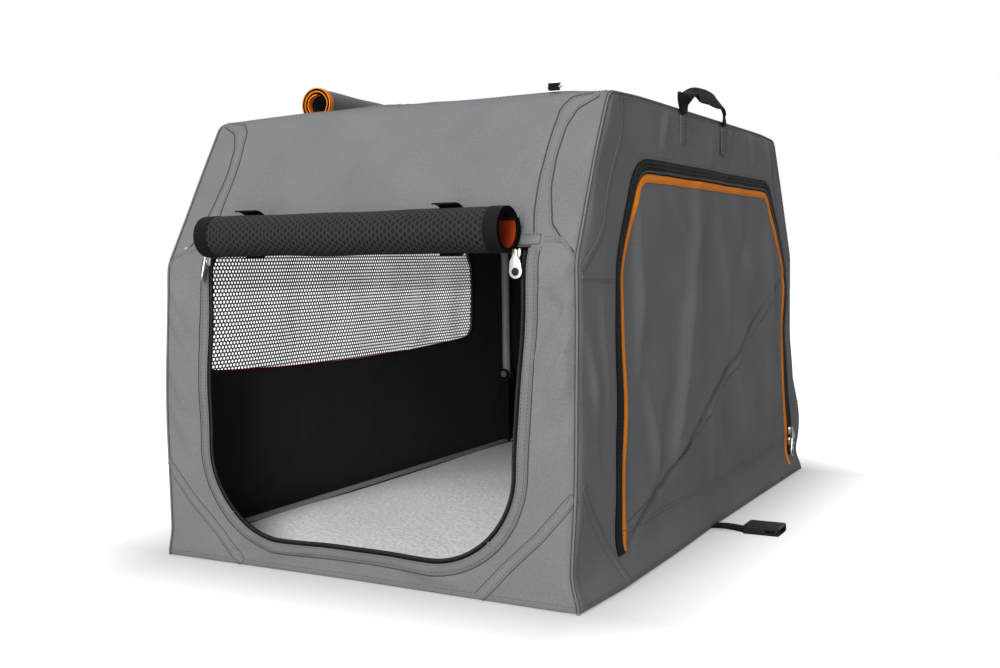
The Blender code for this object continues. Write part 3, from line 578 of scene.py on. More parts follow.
leftCloth = Cloth(flatBase(lambda y, z: (-halfWidth, y, z), (-1, 0, 0)), sideRims, leftFolds, 0.0005, 9)
roofCloth = Cloth(flatBase(lambda x, y: (x, y, crate["height"]), (0, 0, 1)), roofRims, roofFolds, 0.0007, 12)
print("cloth surfaces ready")


# the side walls' groups, whose pieces are baked where they stand
footBend = {"right": (0.036, 0.0502), "left": (0.119, 0.137)}


def sink(piece, body):
    # what is sewn to the end walls sinks with them as the left frame folds
    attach(piece, body)
    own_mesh(piece)
    return piece


def follow(piece, group):
    if group == "ends":
        return sink(piece, "base")
    if group.startswith("front_"):
        return sink(piece, group)
    if group in footBend:
        x = halfWidth if group == "right" else -halfWidth
        group + "_frame"
        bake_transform(piece)
    else:
        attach(piece, group)
    return piece


def linked(name, data):
    piece = bpy.data.objects.new(name, data)
    bpy.context.scene.collection.objects.link(piece)
    return piece


def addPiece(name, points, faces, materials, maps=None, slots=None, sharp=None):
    mesh = bpy.data.meshes.new(name)
    mesh.from_pydata([tuple(map(float, p)) for p in points], [], faces)
    for material in materials:
        mesh.materials.append(finishes[material])
    if maps is not None:
        layer = mesh.uv_layers.new(name="clothMap")
        order = np.zeros(len(mesh.loops), np.int32)
        mesh.loops.foreach_get("vertex_index", order)
        layer.data.foreach_set("uv", np.asarray(maps, np.float32)[order].ravel())
    if slots is not None:
        mesh.polygons.foreach_set("material_index", np.asarray(slots, np.int32))
    mesh.shade_smooth()
    if sharp:
        mesh.set_sharp_from_angle(angle=math.radians(sharp))
    mesh.update()
    return linked(name, mesh)


def rectangle(left, low, right, high):
    return [(left, low), (right, low), (right, high), (left, high)]


def insideLoops(points, loops):
    keep = inPolygon(points, loops[0])
    for loop in loops[1:]:
        keep &= ~inPolygon(points, loop)
    return keep


def panel(name, cloth, outline, holes=(), thickness=crate["cloth"], step=0.0055, materials=("grey", "inside")):
    # a cloth panel with an outer and an inner face and closed edges
    loops = [evenPath(loop, step, True) for loop in (outline, *holes)]
    low, high = np.vstack(loops).min(axis=0), np.vstack(loops).max(axis=0)
    rowShare, clearShare, smallest = 0.866, 0.42, 1e-10
    grid = []
    for j in range(int((high[1] - low[1]) / (step * rowShare)) + 2):
        xs = np.arange(low[0] + 0.5 * step * (j % 2), high[0], step)
        grid.append(np.stack([xs, np.full(len(xs), low[1] + j * step * rowShare)], axis=1))
    grid = np.vstack(grid)
    grid = grid[insideLoops(grid, loops)]
    clear = np.ones(len(grid), bool)
    edges, first = [], 0
    for loop in loops:
        clear &= pathDistance(grid, np.vstack([loop, loop[:1]]))[0] > step * clearShare
        edges += [(first + i, first + (i + 1) % len(loop)) for i in range(len(loop))]
        first += len(loop)
    everything = [Vector(p) for p in np.vstack([*loops, grid[clear]])]
    verts, _, tris, _, _, _ = delaunay_2d_cdt(everything, edges, [], 0, 1e-7)
    flat = np.array([tuple(v) for v in verts])
    tris = np.array([t for t in tris if len(t) == 3])
    tris = tris[insideLoops(flat[tris].mean(axis=1), loops)]
    corner = flat[tris]
    area = np.cross(corner[:, 1] - corner[:, 0], corner[:, 2] - corner[:, 0])
    tris, area = tris[np.abs(area) > smallest], area[np.abs(area) > smallest]
    tris[area < 0] = tris[area < 0][:, ::-1]
    used = np.unique(tris)
    renumber = np.full(len(flat), -1)
    renumber[used] = np.arange(len(used))
    flat, tris = flat[used], renumber[tris]
    outer, normals = cloth.shape(flat), cloth.normals(flat)
    a, b, c = tris[len(tris) // 2]
    if np.cross(outer[b] - outer[a], outer[c] - outer[a]) @ normals[a] < 0:
        tris = tris[:, ::-1]
    count = len(flat)
    front = [tuple(map(int, t)) for t in tris]
    back = [tuple(i + count for i in t[::-1]) for t in front]
    sides = {(t[i], t[(i + 1) % 3]): True for t in front for i in range(3)}
    border = [(b, a, a + count, b + count) for a, b in sides if (b, a) not in sides]
    slots = [0] * len(front) + [1] * len(back) + [0] * len(border)
    points = np.vstack([outer, outer - normals * thickness])
    return addPiece(name, points, front + back + border, materials, np.vstack([flat, flat]), slots, 50)


def pathTangent(path, closed=False):
    tangent = np.roll(path, -1, axis=0) - np.roll(path, 1, axis=0) if closed else np.gradient(path, axis=0)
    return tangent / np.linalg.norm(tangent, axis=1)[:, None]


def crossAxes(points, out):
    # across a path and up from it, for a band whose face is turned to out
    tangent = pathTangent(points)
    across = np.cross(tangent, out)
    across /= np.linalg.norm(across, axis=1)[:, None]
    return across, np.cross(across, tangent)


def stripMap(points, marks):
    # a swept section's map: the length along the path, and a mark for each point of the section
    return np.stack([np.repeat(runLength(points), len(marks)), np.tile(marks, len(points))], axis=1)


def sweep(name, rings, maps, material, closed=False, sharp=40):
    count, size = rings.shape[0], rings.shape[1]
    faces = []
    for i in range(count if closed else count - 1):
        j = (i + 1) % count
        for k in range(size):
            m = (k + 1) % size
            faces.append((i * size + k, i * size + m, j * size + m, j * size + k))
    if not closed:
        faces.append(tuple(range(size))[::-1])
        faces.append(tuple((count - 1) * size + k for k in range(size)))
    piece = addPiece(name, rings.reshape(-1, 3), faces, [material], maps, sharp=sharp)
    shape = bmesh.new()
    shape.from_mesh(piece.data)
    bmesh.ops.recalc_face_normals(shape, faces=shape.faces)
    if shape.calc_volume(signed=True) < 0:
        bmesh.ops.reverse_faces(shape, faces=shape.faces)
    shape.to_mesh(piece.data)
    shape.free()
    return piece


def bandAlong(name, points, out, width, thickness, material="webbing", twist=None):
    # flat webbing along points, its wide face turned to out
    across, lift = crossAxes(points, out)
    if twist is not None:
        c, s = np.cos(twist)[:, None], np.sin(twist)[:, None]
        across, lift = across * c + lift * s, lift * c - across * s
    half, thin = width / 2, thickness / 2
    section = [(-half, -thin * 0.4), (-half + thin, -thin), (half - thin, -thin), (half, -thin * 0.4),
               (half, thin * 0.4), (half - thin, thin), (-half + thin, thin), (-half, thin * 0.4)]
    rings = np.stack([points + across * x + lift * h for x, h in section], axis=1)
    return sweep(name, rings, stripMap(points, [x for x, _ in section]), material)


def makeRepeatTree():
    # instances of a small rounded body on points, turned by the attributes along and out
    tree = bpy.data.node_groups.new("repeatOnPoints", "GeometryNodeTree")
    sizes = {"Length": "X", "Width": "Y", "Height": "Z"}
    kinds = {"Geometry": "Geometry", **dict.fromkeys(sizes, "Float"), "Material": "Material"}
    for label, kind in kinds.items():
        tree.interface.new_socket(name=label, in_out="INPUT", socket_type="NodeSocket" + kind)
    tree.interface.new_socket(name="Geometry", in_out="OUTPUT", socket_type="NodeSocketGeometry")
    new, link = tree.nodes.new, tree.links.new
    entry, leave, ball = new("NodeGroupInput"), new("NodeGroupOutput"), new("GeometryNodeMeshIcoSphere")
    ball.inputs["Radius"].default_value = 0.5
    ball.inputs["Subdivisions"].default_value = 1
    size = new("ShaderNodeCombineXYZ")
    for label, socket in sizes.items():
        link(entry.outputs[label], size.inputs[socket])
    reads = {}
    for label in ("along", "out"):
        reads[label] = new("GeometryNodeInputNamedAttribute")
        reads[label].data_type = "FLOAT_VECTOR"
        reads[label].inputs["Name"].default_value = label
    upright, turned = new("FunctionNodeAlignRotationToVector"), new("FunctionNodeAlignRotationToVector")
    upright.axis, turned.axis, turned.pivot_axis = "Z", "X", "Z"
    link(reads["out"].outputs[0], upright.inputs["Vector"])
    link(upright.outputs[0], turned.inputs["Rotation"])
    link(reads["along"].outputs[0], turned.inputs["Vector"])
    scatter, solid = new("GeometryNodeInstanceOnPoints"), new("GeometryNodeRealizeInstances")
    coat = new("GeometryNodeSetMaterial")
    link(entry.outputs["Geometry"], scatter.inputs["Points"])
    link(ball.outputs["Mesh"], scatter.inputs["Instance"])
    link(turned.outputs[0], scatter.inputs["Rotation"])
    link(size.outputs[0], scatter.inputs["Scale"])
    link(scatter.outputs[0], solid.inputs[0])
    link(solid.outputs[0], coat.inputs["Geometry"])
    link(entry.outputs["Material"], coat.inputs["Material"])
    link(coat.outputs[0], leave.inputs[0])
    return tree


repeatTree = makeRepeatTree()
repeatSockets = {item.name: item.identifier for item in repeatTree.interface.items_tree if item.in_out == "INPUT"}


def repeated(name, points, along, out, size, material):
    mesh = bpy.data.meshes.new(name + "Points")
    mesh.from_pydata([tuple(map(float, p)) for p in points], [], [])
    for label, values in (("along", along), ("out", out)):
        attribute = mesh.attributes.new(label, "FLOAT_VECTOR", "POINT")
        attribute.data.foreach_set("vector", np.asarray(values, np.float32).ravel())
    holder = linked(name + "Points", mesh)
    modifier = holder.modifiers.new("repeat", "NODES")
    modifier.node_group = repeatTree
    for label, value in zip(("Length", "Width", "Height", "Material"), (*size, finishes[material])):
        modifier[repeatSockets[label]] = value
    graph = bpy.context.evaluated_depsgraph_get()
    result = bpy.data.meshes.new_from_object(holder.evaluated_get(graph), depsgraph=graph)
    bpy.data.objects.remove(holder)
    result.name = name
    result.shade_smooth()
    return linked(name, result)


def strip(width, height):
    # a flat tape with softly rounded edges, its foot sunk a little in the cloth
    half, sunk = width / 2, 0.0006
    edge = min(height, half * 0.5) * 0.7
    return [(-half, -sunk), (half, -sunk), (half, height * 0.45), (half - edge, height),
            (0.0, height * 1.06), (-half + edge, height), (-half, height * 0.45)]


def groove(half, sunk=0.0006, lift=0.0002):
    return [(-half, -sunk), (half, -sunk), (half, lift), (-half, lift)]


stitch = {"pitch": 0.0036, "size": (0.0026, 0.0007, 0.0007), "lift": 0.0001, "inset": 0.0018}
bands = {  # width and height of the flat bands and tapes
    "foot": (0.0095, 0.0006), "slope": (0.0075, 0.0006), "rearKnee": (0.008, 0.0006), "lintel": (0.010, 0.0008),
    "knee": (0.0040, 0.0007), "joint": (0.0022, 0.0014), "stop": (0.0050, 0.0009), "tail": (0.0070, 0.0014),
    "frontHem": (0.010, 0.0011), "windowZip": (0.012, 0.0008)}


class Sewing:
    # what is sewn on one cloth and follows one group
    def __init__(self, cloth, group):
        self.cloth, self.group = cloth, group

    def ribbon(self, name, path, section, material, closed=False, step=0.004):
        # a closed cross-section of (sideways, lift) swept along a path on the cloth
        path = evenPath(path, step, closed)
        tangent = pathTangent(path, closed)
        side = np.stack([-tangent[:, 1], tangent[:, 0]], axis=1)
        rings = np.stack([self.cloth.at(path + side * offset, lift) for offset, lift in section], axis=1)
        return follow(sweep(name, rings, stripMap(path, [x for x, _ in section]), material, closed), self.group)

    def repeat(self, name, paths, pitch, size, material, lift, slant=0.0, closed=False):
        # slant turns each one across the path
        points, along, out = [], [], []
        for path in paths:
            path = evenPath(path, pitch, closed)
            places, normal = self.cloth.at(path, lift), self.cloth.normals(path)
            ahead = self.cloth.at(path + pathTangent(path, closed) * 0.001, lift) - places
            points.append(places)
            along.append(ahead * math.cos(slant) + np.cross(normal, ahead) * math.sin(slant))
            out.append(normal)
        piece = repeated(name, np.vstack(points), np.vstack(along), np.vstack(out), size, material)
        return follow(piece, self.group)

    def stitches(self, name, paths, material="thread", lift=stitch["lift"], closed=False):
        return self.repeat(name, paths, stitch["pitch"], stitch["size"], material, lift, closed=closed)

    def coil(self, name, path, pitch, size, lift, closed=False):
        return self.repeat(name, [path], pitch, size, "coil", lift, math.radians(80), closed)

    def seamLine(self, name, path, half=0.0005):
        # the dark line where two cloths are sewn: painted shade of the crease between them
        return self.ribbon(name, path, groove(half), "darkThread")

    def seamBand(self, name, path, kind):
        # a band over a seam, with two rows of stitches and a dark line of painted shade along each side
        width, height = bands[kind]
        self.ribbon(name, path, strip(width, height), "grey")
        rows = [shiftedPath(path, sign * (width / 2 - stitch["inset"])) for sign in (1, -1)]
        self.stitches(name + "Stitches", rows, "thread", height + 0.0001)
        for tail, sign in (("Shade", 1), ("Under", -1)):
            self.seamLine(name + tail, shiftedPath(path, sign * (width / 2 + 0.0002)))


def smoothed(points, radius):
    return evenPath(roundedPath(points, radius, steps=3), 0.004)


def mirrored(side, points):
    return [(side * x, z) for x, z in points]


bothSides = (("Left", -1), ("Right", 1))
endOutline = rectangle(-halfWidth, 0, halfWidth, endTop)
endFootLine = [(-0.236, 0.0065), (0.236, 0.0065)]
frontDoor = {
    "half": 0.1762, "lean": 0.010, "leanFrom": 0.13, "leanRise": 0.19, "sill": 0.034, "corner": 0.085,
    "zip": 0.006, "zipTop": 0.325, "top": 0.332, "hemRow": 0.0032, "hemShade": 0.0098,
    "tape": [(-0.0036, -0.0010), (0.0040, -0.0010), (0.0040, 0.0005), (0.0028, 0.0008), (-0.0026, 0.0008),
             (-0.0036, 0.0003)],
    "coilLine": 0.0012, "coilPitch": 0.0016, "coil": (0.0034, 0.0011, 0.0017), "coilLift": 0.0009,
    "joint": [(0.1607, 0.0475), (0.1527, 0.0560)], "lintel": 0.006, "stopShift": 0.0055}
frontSeams = {
    "foot": [(0.238, 0.104), (0.205, 0.0645), (0.170, 0.0315), (0.142, 0.003)],
    "knee": [(0.2045, 0.3385), (0.222, 0.3375), (0.2385, 0.3155)],
    "kneeRow": [(0.205, 0.3345), (0.222, 0.3335)],
    "Inner": [(0.192, 0.345), (0.1885, 0.366), (0.187, 0.404), (0.188, 0.440), (0.189, 0.458), (0.191, 0.483),
              (0.200, 0.496), (0.222, 0.502)],
    "Outer": [(0.236, 0.324), (0.223, 0.335), (0.209, 0.353), (0.201, 0.391), (0.1995, 0.426), (0.202, 0.462),
              (0.209, 0.482), (0.230, 0.496)]}


def sillPath(offset, top):
    half, sill = frontDoor["half"] + offset, frontDoor["sill"] - offset
    corners = [(-half, top), (-half, sill), (half, sill), (half, top)]
    path = evenPath(roundedPath(corners, frontDoor["corner"] + offset, steps=14), 0.004)
    rise = smoothStep((path[:, 1] - frontDoor["leanFrom"]) / frontDoor["leanRise"])
    path[:, 0] += frontDoor["lean"] * rise * np.clip(path[:, 0] / half, 0, 1)
    return path


def makeFrontWall():
    door, seams, sewn = frontDoor, frontSeams, Sewing(frontCloth, "ends")
    wall = panel("frontClothWall", frontCloth, endOutline, [sillPath(door["zip"] + 0.0003, door["top"])], step=0.0042)
    follow(wall, "ends")
    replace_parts(wall, "front_wall")
    tapeLine = sillPath(door["zip"] / 2 + 0.0008, door["zipTop"])
    tape = sewn.ribbon("frontZipTape", tapeLine, door["tape"], "zipTape")
    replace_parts(tape, "front_zip")
    coilLine = sillPath(door["coilLine"], door["zipTop"])
    sewn.coil("frontZipCoil", coilLine, door["coilPitch"], door["coil"], door["coilLift"])
    # hem outside the zip, stitched on both sides, with short joints at the round corners
    hemLine = door["zip"] - 0.0018 + bands["frontHem"][0] / 2
    sewn.ribbon("frontHem", sillPath(hemLine, door["zipTop"] + 0.001), strip(*bands["frontHem"]), "greyBand")
    rows = [sillPath(hemLine + sign * door["hemRow"], door["zipTop"]) for sign in (-1, 1)]
    sewn.stitches("frontHemStitches", rows, "darkThread", 0.0012)
    shadeLine = sillPath(door["zip"] + door["hemShade"], door["zipTop"])
    sewn.ribbon("frontHemShade", shadeLine, groove(0.0006, 0.0008, 0.00012), "darkThread")
    for word, side in bothSides:
        joint = mirrored(side, door["joint"])
        sewn.ribbon("frontHemJoint" + word, joint, strip(*bands["joint"]), "greyBand", step=0.002)
        # reinforced lower corner
        sewn.seamBand("frontFootSeam" + word, mirrored(side, seams["foot"]), "foot")
        # curved band on the slope, round the upper corner
        for tail, turn in (("Inner", -side), ("Outer", side)):
            line = smoothed(mirrored(side, seams[tail]), 0.008)
            sewn.seamLine("frontSlopeSeam" + tail + word, line, 0.0008)
            sewn.stitches("frontSlopeStitches" + tail + word, [shiftedPath(line, turn * 0.0028)])
        knee = roundedPath(mirrored(side, seams["knee"]), 0.006, steps=3)
        sewn.ribbon("frontKneeSeam" + word, knee, strip(*bands["knee"]), "greyBand")
        sewn.stitches("frontKneeStitches" + word, [mirrored(side, seams["kneeRow"])], lift=0.0002)
        stop = [(side * x + door["stopShift"], z) for x, z in ((0.185, 0.3265), (0.1975, 0.3275))]
        sewn.ribbon("frontZipStop" + word, stop, strip(*bands["stop"]), "greyBand", step=0.002)
    # hem along the top of the opening, under the roll
    over = door["top"] + door["lintel"]
    sewn.seamBand("frontLintel", [(-0.2, over), (0.2, over)], "lintel")
    sewn.stitches("frontFootStitches", [endFootLine])


rearSeams = {
    "foot": [(0.238, 0.104), (0.190, 0.050), (0.142, 0.003)],
    "slope": [(0.236, 0.330), (0.207, 0.357), (0.1985, 0.400), (0.196, 0.458), (0.201, 0.490), (0.212, 0.5005)],
    "knee": [(-0.199, 0.335), (0.199, 0.335)]}


def makeRearWall():
    sewn = Sewing(rearCloth, "ends")
    wall = panel("rearClothWall", rearCloth, endOutline, step=0.0065)
    follow(wall, "ends")
    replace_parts(wall, "rear_wall")
    for word, side in bothSides:
        sewn.seamBand("rearFootSeam" + word, mirrored(side, rearSeams["foot"]), "foot")
        sewn.seamBand("rearSlopeSeam" + word, smoothed(mirrored(side, rearSeams["slope"]), 0.010), "slope")
    sewn.seamBand("rearKneeSeam", rearSeams["knee"], "rearKnee")
    sewn.stitches("rearFootStitches", [endFootLine])


makeFrontWall()
makeRearWall()
print("end walls ready")


sideOutline = [(-halfDepth, 0), (halfDepth, 0)] + [tuple(p) for p in sideChain[1:-1]]
sideDoor = {
    "front": 0.275, "rear": 0.335, "foot": 0.0505, "shoulder": 0.305, "top": 0.402, "frontStep": 0.050,
    "rearStep": 0.090, "corner": 0.045, "binding": 0.008, "zip": 0.014, "zipFoot": 0.020,
    "zipRows": (-0.0015, -0.0060, 0.0050), "tail": 0.004, "tailFeet": (0.030, 0.016),
    "bindingSection": [(-0.0042, -0.0034), (0.0042, -0.0034), (0.0046, -0.0012), (0.0040, 0.0008), (0.0012, 0.0016),
                       (-0.0016, 0.0016), (-0.0042, 0.0008), (-0.0046, -0.0012)],
    "tape": [(-0.007, -0.0016), (0.008, -0.0012), (0.008, 0.0007), (0.006, 0.0012), (-0.0058, 0.0011),
             (-0.007, 0.0005)],
    "coilLine": 0.0026, "coilPitch": 0.0017, "coil": (0.0038, 0.0012, 0.0018), "coilLift": 0.0012,
    "seam": [(-0.262, 0.0555), (-0.200, 0.070), (-0.137, 0.090), (-0.035, 0.122), (0.083, 0.176), (0.171, 0.215),
             (0.265, 0.260), (0.322, 0.284)]}


def doorPath(offset, foot=sideDoor["foot"]):
    front, rear, shoulder, top = (sideDoor[key] for key in ("front", "rear", "shoulder", "top"))
    corners = [(-front, foot), (-front, shoulder), (-front + sideDoor["frontStep"], top),
               (rear - sideDoor["rearStep"], top), (rear, shoulder), (rear, foot)]
    return roundedPath(shiftedPath(corners, offset), sideDoor["corner"] + offset)


def makeRightSide():
    door, onWall, onDoor = sideDoor, Sewing(rightCloth, "right"), Sewing(rightCloth, "right_door")
    hole = doorPath(door["zip"] + 0.0003, door["foot"] - 0.0003)
    wall = panel("rightClothWall", rightCloth, sideOutline, [hole], step=0.0045)
    follow(wall, "right")
    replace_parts(wall, "right_wall")
    leaf = panel("sideDoorCloth", rightCloth, doorPath(-door["binding"] + 0.002), step=0.0045)
    follow(leaf, "right_door")
    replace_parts(leaf, "right_door")
    binding = onDoor.ribbon("sideDoorBinding", doorPath(-door["binding"] / 2), door["bindingSection"], "orange")
    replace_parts(binding, "right_door_binding")
    onDoor.stitches("sideDoorBindingStitches", [doorPath(-door["binding"] + 0.0016)], "orangeThread", 0.0014)
    onDoor.seamLine("sideDoorSeam", door["seam"], 0.0010)
    # the zip: a black tape over the wall's edge, its coil beside the orange binding
    tapeLine = doorPath(door["zip"] / 2 + 0.0006, door["foot"] - 0.022)
    tape = onWall.ribbon("sideZipTape", tapeLine, door["tape"], "zipTape")
    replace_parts(tape, "right_zip")
    coilLine = doorPath(door["coilLine"], door["foot"] - 0.018)
    onWall.coil("sideZipCoil", coilLine, door["coilPitch"], door["coil"], door["coilLift"])
    *rows, outer = (doorPath(door["zip"] + shift, door["foot"] - door["zipFoot"]) for shift in door["zipRows"])
    onWall.stitches("sideZipStitches", rows, "darkThread", 0.0013)
    onWall.stitches("sideZipOuterStitches", [outer])
    # the binding runs on below the door, towards the floor
    tailPlaces = (-door["front"] + door["tail"], door["rear"] - door["tail"])
    for word, y, foot in zip(("Front", "Rear"), tailPlaces, door["tailFeet"]):
        line = [(y, foot), (y, door["foot"] - 0.0006)]
        onWall.ribbon("sideDoorTail" + word, line, strip(*bands["tail"]), "orange", step=0.003)
    hinge = [(-door["front"] + 0.010, 0.046), (door["rear"] - 0.010, 0.046)]
    onWall.stitches("sideDoorHingeStitches", [hinge], "darkThread")


wallSeams = {
    "foot": [(0.372, 0.112), (0.350, 0.087), (0.320, 0.055), (0.300, 0.030), (0.288, 0.004)],
    "slope": [(0.375, 0.309), (0.345, 0.330), (0.322, 0.350), (0.305, 0.378), (0.288, 0.408), (0.270, 0.437),
              (0.2615, 0.455), (0.2625, 0.468), (0.270, 0.4755)],
    "kneeEnds": {"Right": (0.302, 0.360), "Left": (0.352, 0.302)},
    "footLine": [(-0.381, 0.0065), (0.381, 0.0065)], "topLine": [(-0.275, 0.4745), (0.275, 0.4745)]}


def makeWallSeams(sewn, word):
    for end, limit, tail in zip((-1, 1), wallSeams["kneeEnds"][word], (word + "Front", word + "Rear")):
        sewn.seamBand("wallFootSeam" + tail, mirrored(end, wallSeams["foot"]), "foot")
        sewn.seamBand("wallSlopeSeam" + tail, smoothed(mirrored(end, wallSeams["slope"]), 0.010), "slope")
        knee = mirrored(end, [(0.376, 0.3015), (limit, 0.2985)])
        sewn.ribbon("wallKneeSeam" + tail, knee, strip(*bands["knee"]), "greyBand")
        row = mirrored(end, [(0.374, 0.297), (limit + 0.001, 0.294)])
        sewn.stitches("wallKneeStitches" + tail, [row], lift=0.0002)
    sewn.stitches("wallFootStitches" + word, [wallSeams["footLine"]])
    sewn.stitches("wallTopStitches" + word, [wallSeams["topLine"]])


window = {
    "front": 0.330, "rear": 0.275, "bottom": 0.197, "top": 0.402, "shoulder": 0.305, "frontStep": 0.090,
    "rearStep": 0.050, "corner": 0.020, "sag": 0.010, "sagHeight": 0.05, "netDepth": -0.0013,
    "lines": {"inner": 0.0010, "binding": 0.0062, "stitches": 0.0092, "coil": 0.0148, "tape": 0.0172},
    "binding": [(-0.0050, -0.0024), (0.0050, -0.0024), (0.0054, -0.0010), (0.0050, 0.0010), (0.0010, 0.0016),
                (-0.0030, 0.0014), (-0.0054, -0.0008)],
    "innerBinding": [(-0.0010, -0.0042), (0.0010, -0.0042), (0.0014, -0.0034), (0.0010, -0.0026), (-0.0010, -0.0026),
                     (-0.0014, -0.0032)],
    "coilPitch": 0.0017, "coil": (0.0036, 0.0012, 0.0017), "coilLift": 0.0011,
    "flap": (-0.195, 0.411, 0.195, 0.4785), "flapThickness": 0.0026, "flapRows": (0.4145, 0.4185)}


def windowPath(offset):
    front, rear, bottom, shoulder, top = (window[key] for key in ("front", "rear", "bottom", "shoulder", "top"))
    corners = [(-front, bottom), (-front, shoulder), (-front + window["frontStep"], top),
               (rear - window["rearStep"], top), (rear, shoulder), (rear, bottom)]
    corners = shiftedPath(corners, offset, True)
    path = evenPath(roundedPath(corners, window["corner"], steps=6, closed=True), 0.006, True)
    middle = (rear - front) / 2
    hang = np.clip(1 - ((path[:, 0] - middle) / (rear - middle)) ** 2, 0, 1)
    low = smoothStep((bottom + window["sagHeight"] - path[:, 1]) / window["sagHeight"])
    path[:, 1] -= window["sag"] * hang * low
    return path


def makeLeftSide():
    sewn = Sewing(leftCloth, "left_frame")
    wall = panel("leftClothWall", leftCloth, sideOutline, [windowPath(0)])
    follow(wall, "left")
    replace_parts(wall, "left_wall")
    sunk = Cloth(liftedBase(leftCloth, window["netDepth"]), waves=0.0003, seed=9)
    net = panel("windowNetPanel", sunk, windowPath(0.0006), (), 0.0007, 0.008, ("window", "window"))
    follow(net, "left_frame")
    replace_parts(net, "left_window_mesh")
    lines = {label: windowPath(offset) for label, offset in window["lines"].items()}
    sewn.ribbon("windowBinding", lines["binding"], window["binding"], "orange", True)
    # the binding's inner side is coloured dark orange: painted shade inside the cabin
    sewn.ribbon("windowInnerBinding", lines["inner"], window["innerBinding"], "darkOrange", True)
    sewn.stitches("windowBindingStitches", [lines["stitches"]], "orangeThread", 0.0013, True)
    sewn.ribbon("windowZipTape", lines["tape"], strip(*bands["windowZip"]), "zipTape", True)
    sewn.coil("windowZipCoil", lines["coil"], window["coilPitch"], window["coil"], window["coilLift"], True)
    flapCloth = Cloth(liftedBase(leftCloth, 0.0004 + crate["cloth"]), waves=0.0003, seed=9)
    flap = panel("coverFlap", flapCloth, rectangle(*window["flap"]), (), window["flapThickness"], 0.008)
    follow(flap, "left_frame")
    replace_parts(flap, "cover_flap")
    rows = [[(-0.19, z), (0.19, z)] for z in window["flapRows"]]
    Sewing(flapCloth, "left_frame").stitches("coverFlapStitches", rows)


makeRightSide()
makeWallSeams(Sewing(rightCloth, "right"), "Right")
makeLeftSide()
makeWallSeams(Sewing(leftCloth, "left"), "Left")
print("side walls ready")

roof = {"gap": 0.0006, "rowSide": 0.2335, "rowMiddle": 0.006, "rowEnd": 0.2885}


def makeRoof():
    # the two halves meet in a shallow groove
    for word, side in (("left", -1), ("right", 1)):
        low, high = sorted((side * roof["gap"], side * halfWidth))
        half = panel(word + "RoofCloth", roofCloth, rectangle(low, -roofHalf, high, roofHalf), step=0.0065)
        follow(half, word + "_roof")
        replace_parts(half, word + "_roof")
        rows = [[(side * x, -y), (side * x, y)] for x, y in ((roof["rowSide"], 0.28), (roof["rowMiddle"], 0.287))]
        rows += [[(side * x, end * roof["rowEnd"]) for x in (roof["rowMiddle"], 0.232)] for end in (-1, 1)]
        Sewing(roofCloth, word + "_roof").stitches(word + "RoofStitches", rows)


def makeFloor():
    flat = Cloth(flatBase(lambda x, y: (x, y, 0.0), (0, 0, -1)), seed=2)
    x, y = halfWidth - 0.003, halfDepth - 0.003
    laid = panel("floorCloth", flat, rectangle(-x, -y, x, y), (), 0.0028, 0.02)
    follow(laid, "base")
    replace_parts(laid, "floor_cover")


def edgeRod(name, group, points, out, radius, material):
    # a folded seam along a corner: an oval rod with its wide side along out
    points = settled(points)
    across, lift = crossAxes(points, out)
    turns = 2 * math.pi * np.arange(8) / 8
    rings = [points + across * (0.62 * radius * math.cos(t)) + lift * (radius * math.sin(t)) for t in turns]
    maps = stripMap(points, np.arange(8) * radius)
    return follow(sweep(name, np.stack(rings, axis=1), maps, material, sharp=80), group)


def makeCornerEdges():
    drop = rounding["corner"] * (1 - math.cos(math.pi / 4))
    chain = evenPath(sideChain, 0.006)
    tangent = pathTangent(chain)
    inward = np.stack([-tangent[:, 1], tangent[:, 0]], axis=1)
    y, z = (chain + inward * drop).T
    top = np.abs(y) < roofHalf - 0.004
    for word, side in bothSides:
        points = np.stack([np.full(len(y), side * (halfWidth - drop)), y, z], axis=1)
        out = np.stack([np.full(len(y), side * 1.0), -inward[:, 0], -inward[:, 1]], axis=1) / math.sqrt(2)
        groups = {"Front": "ends", "Rear": "ends", "Top": word.lower() + "_frame"}
        for (tail, group), chosen in zip(groups.items(), ((y < 0) & ~top, (y > 0) & ~top, top)):
            where = np.nonzero(chosen)[0]
            where = slice(max(0, where[0] - 1), where[-1] + 2)
            line, away = points[where], out[where]
            edgeRod("cornerSeam" + word + tail, group, line + away * 0.0002, away, 0.0019, "greyBand")
            # beside each seam a thin dark rod in thread colour: a painted shade line
            shade = line + away * 0.0004 + np.cross(pathTangent(line), away) * 0.0021 * side
            edgeRod("cornerShade" + word + tail, group, shade, away, 0.0005, "thread")


makeRoof()
makeFloor()
makeCornerEdges()
print("roof, floor and edges ready")

doorRoll = {
    "radius": 0.0234, "core": 0.0172, "turns": 2.0, "thick": 0.0014, "begin": math.radians(26),
    "across": (0.0, 1.0, 0.0), "wobble": 0.0009, "seed": 21, "left": -0.168, "right": 0.183, "z": 0.345,
    "offSlope": 0.0261, "bindings": (0.016, 0.015),
    "liningTurns": 115, "liningDepth": 0.060, "strap": 0.117, "strapTurns": (-66, 96), "strapRadius": 0.0249}
belowSlope = (doorRoll["z"] - crate["knee"]) * math.sin(slopeTurn)
doorRoll["y"] = -halfDepth - (doorRoll["offSlope"] - belowSlope) / math.cos(slopeTurn)
doorRoll["start"] = (doorRoll["left"], doorRoll["y"], doorRoll["z"])
doorRoll["end"] = (doorRoll["right"], doorRoll["y"], doorRoll["z"])
coverRoll = {
    "radius": 0.0220, "core": 0.0122, "turns": 1.5, "thick": 0.0026, "begin": math.radians(90),
    "across": (1.0, 0.0, 0.0), "wobble": 0.0011, "seed": 33, "start": (-0.174, -0.200, 0.5028),
    "end": (-0.222, 0.200, 0.5028), "binding": 0.009}


